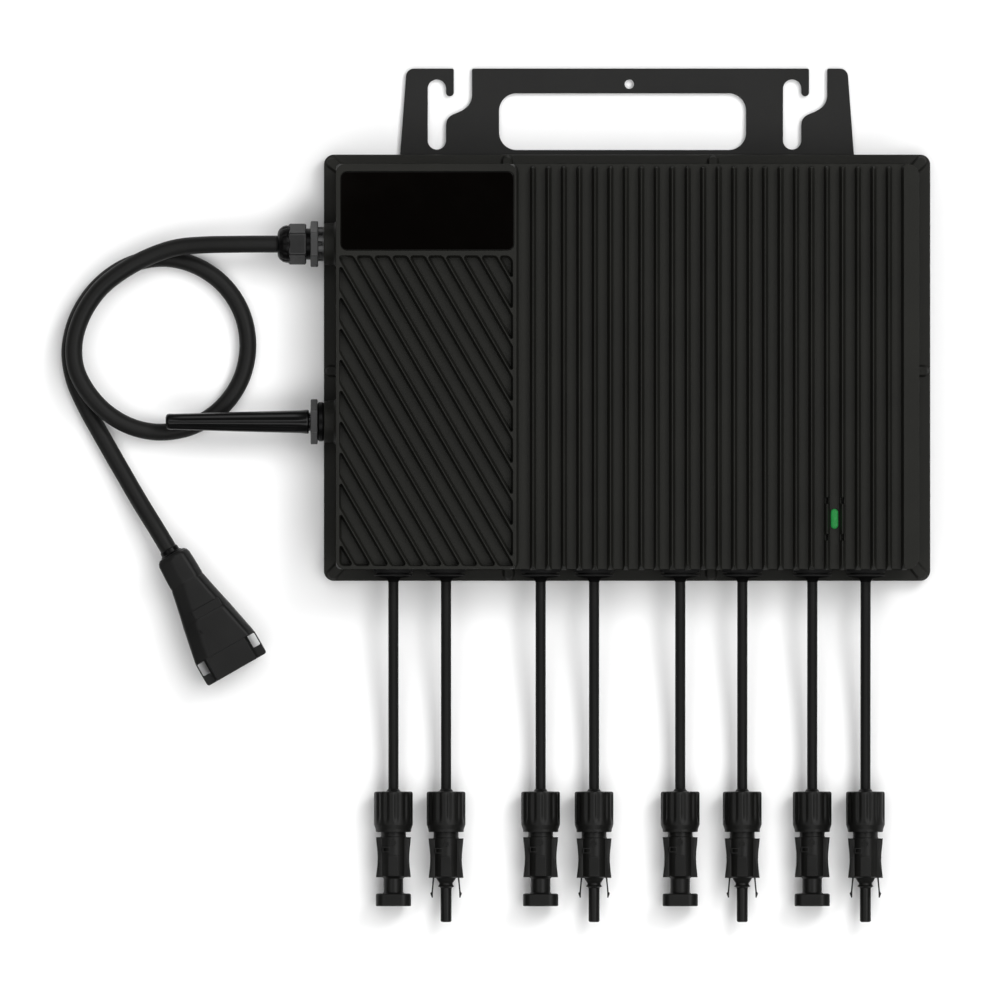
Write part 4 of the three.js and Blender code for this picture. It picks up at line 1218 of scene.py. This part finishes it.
def plug_mouth():
    outline = rounded([
        (-11.1, -11.35, 0.5), (11.1, -11.35, 0.5), (12.4, -6, 0.5), (12.4, 6, 0.5),
        (11.1, 11.35, 0.5), (-11.1, 11.35, 0.5), (-12.4, 6, 0.5), (-12.4, -6, 0.5),
    ], step=20)
    cavity = rectangle(-9.8, 9.8, -8.2, 8.2, 2.4, 15)
    levels = [(0.4, 0), (0.1, 0.15), (0, 0.5), (0, 12.6)]
    return along_plug(layered(outline, levels, [hole(cavity)]))


def plug_loops():
    """The two side loops that the mating half's arms snap into."""
    outline = rectangle(-16.9, 16.9, 0, 13.4, 1.3, 15)
    middle = rectangle(-10.5, 10.5, 0.6, 12.8, 1.0, 30)
    windows = []
    for side in (-1, 1):
        corners = [(12.2, 5.4, 0.5), (12.2, 11.9, 0.4), (16.35, 11.9, 0.5), (16.35, 5.4, 0.6)]
        windows.append(rounded([(side * x, y, radius) for x, y, radius in corners[::side]]))
    return soft_slab(outline, -6.5, 6.5, 0.45, [*windows, hole(middle)])


def plug_details():
    """A raised band across the plug's upper side and a small moulded ring below it."""
    band = soft_slab(rectangle(-5.6, 9.6, 31.0, 35.6, 0.9), 9.0, 11.1, 0.28)
    hinge = Matrix.Translation((0, 31, 0))
    lean = hinge @ Matrix.Rotation(math.radians(BAND_LEAN), 4, "X") @ hinge.inverted()
    ring_profile = open_profile([(0.45, 11.0, 0), (1.0, 11.0, 0.1), (1.0, 11.75, 0.15), (0.45, 11.75, 0.1)])
    ring = turned(ring_profile, 24, hollow=True)
    return merged(placed(band, lean), moved(ring, -6.6, 25.3))


plug_frame = Matrix.Translation(PLUG_PLACE) @ Matrix.Rotation(PLUG_TURN, 4, "Z")
plug_body = lofted([shell_ring(*section) for section in PLUG_SECTIONS])
shell = merged(plug_body, plug_mouth(), plug_loops(), plug_details())
plug_shell = piece("ac_plug_shell", placed(shell, plug_frame), PLUG_PLASTIC, crease=24)

CONTACT_PLACES = [(-5.4, 0), (0, 0), (5.4, 0), (-2.7, 4.4), (2.7, 4.4)]


def insert():
    holes = [hole(circle(x, z, 1.5, 20)) for x, z in CONTACT_PLACES]
    outline = rectangle(-9.4, 9.4, -7.8, 7.8, 2, 15)
    return along_plug(layered(outline, [(0.3, 10.4), (0, 10.7), (0, 11.9)], holes))


def contacts():
    tube = contact_ring(10.8, 11.9, 0.9, 1.4)
    return merged(*[along_plug(moved(tube, x, z)) for x, z in CONTACT_PLACES])


plug_insert = piece("ac_plug_insert", placed(insert(), plug_frame), INSERT_PLASTIC)
plug_contacts = piece("ac_plug_contacts", placed(contacts(), plug_frame), CONTACT_METAL)

sleeve = along_plug(turned(open_profile([
    (CORE, 63, 0), (5.6, 63, 0), (5.6, 66.7, 0.3), (4.9, 67.2, 0.4), (4.75, 69.2, 0.3), (4.4, 69.5, 0),
    (CORE, 69.5, 0),
]), 40))
plug_sleeve = piece("ac_plug_sleeve", placed(sleeve, plug_frame), GLAND_CAP)

cable, line, length = ac_lead

# ---------------- CAD nodes that stay

KEPT = {
    "case_gasket": SEAL_RUBBER,
    "main_board": CIRCUIT_BOARD,
    "radio_board": CIRCUIT_BOARD,
    **{f"transformer_{number}": FERRITE_CORE for number in range(1, 5)},
    "bus_capacitor": CAPACITOR_CASE,
    "output_choke": COPPER_WINDING,
    "grid_relay": RELAY_CASE,
    "ac_gland_locknut": GLAND_NYLON,
}
for node, look in KEPT.items():
    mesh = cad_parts[node].data
    mesh.materials.clear()
    mesh.materials.append(look)

# ---------------- stage and lights

FLOOR_REACH = 4.0
FLOOR_DROP = 0.0004  # keeps the floor clear of the faces that stand on it

floor_mesh = bpy.data.meshes.new("floor")
corners = [(-1, -1), (1, -1), (1, 1), (-1, 1)]
points = [(x * FLOOR_REACH, y * FLOOR_REACH, -FLOOR_DROP) for x, y in corners]
floor_mesh.from_pydata(points, [], [(0, 1, 2, 3)])
floor_mesh.materials.append(material("floor", grey(0.86), 0.8, 40, 0.001, drift=0.01))
added("floor", floor_mesh)

SKY = [(0.0, 0.03), (0.7, 0.05), (0.8, 1.0), (0.94, 1.0), (0.978, 0.01)]  # brightness by height
SKY_STRENGTH = 3.0
SKY_LEAN = 0.4  # how much brighter the sky is on the right than in the middle
SKY_LEAN_SPAN = 0.45
KEY_PLACE = (1.9, 1.7, 2.8)
KEY_SIZE = 1.0
KEY_POWER = 38

world = bpy.data.worlds.new("studio")
world.use_nodes = True
sky = world.node_tree.nodes
sky_links = world.node_tree.links
direction = sky.new("ShaderNodeTexCoord")
height = sky.new("ShaderNodeSeparateXYZ")
brightness = sky.new("ShaderNodeValToRGB")
sky_links.new(direction.outputs["Generated"], height.inputs["Vector"])
sky_links.new(height.outputs["Z"], brightness.inputs["Fac"])
sky_links.new(brightness.outputs["Color"], sky["Background"].inputs["Color"])
strength = (SKY_STRENGTH * (1 - SKY_LEAN), SKY_STRENGTH * (1 + SKY_LEAN))
lean = map_range(sky, (-SKY_LEAN_SPAN, SKY_LEAN_SPAN), strength)
sky_links.new(height.outputs["X"], lean.inputs["Value"])
sky_links.new(lean.outputs["Result"], sky["Background"].inputs["Strength"])
for number, (level, value) in enumerate(SKY):
    steps = brightness.color_ramp.elements
    step = steps[number] if number < 2 else steps.new(level)
    step.position = level
    step.color = (value, value, value, 1)
bpy.context.scene.world = world
bpy.context.scene.view_settings.view_transform = "Standard"

# A square light that looks at the middle of the case.
key = added("key", bpy.data.lights.new("key", "AREA"))
key.data.size = KEY_SIZE
key.data.energy = KEY_POWER
key.location = KEY_PLACE
key.rotation_euler = (-Vector(KEY_PLACE)).to_track_quat("-Z", "Y").to_euler()
key.visible_camera = False
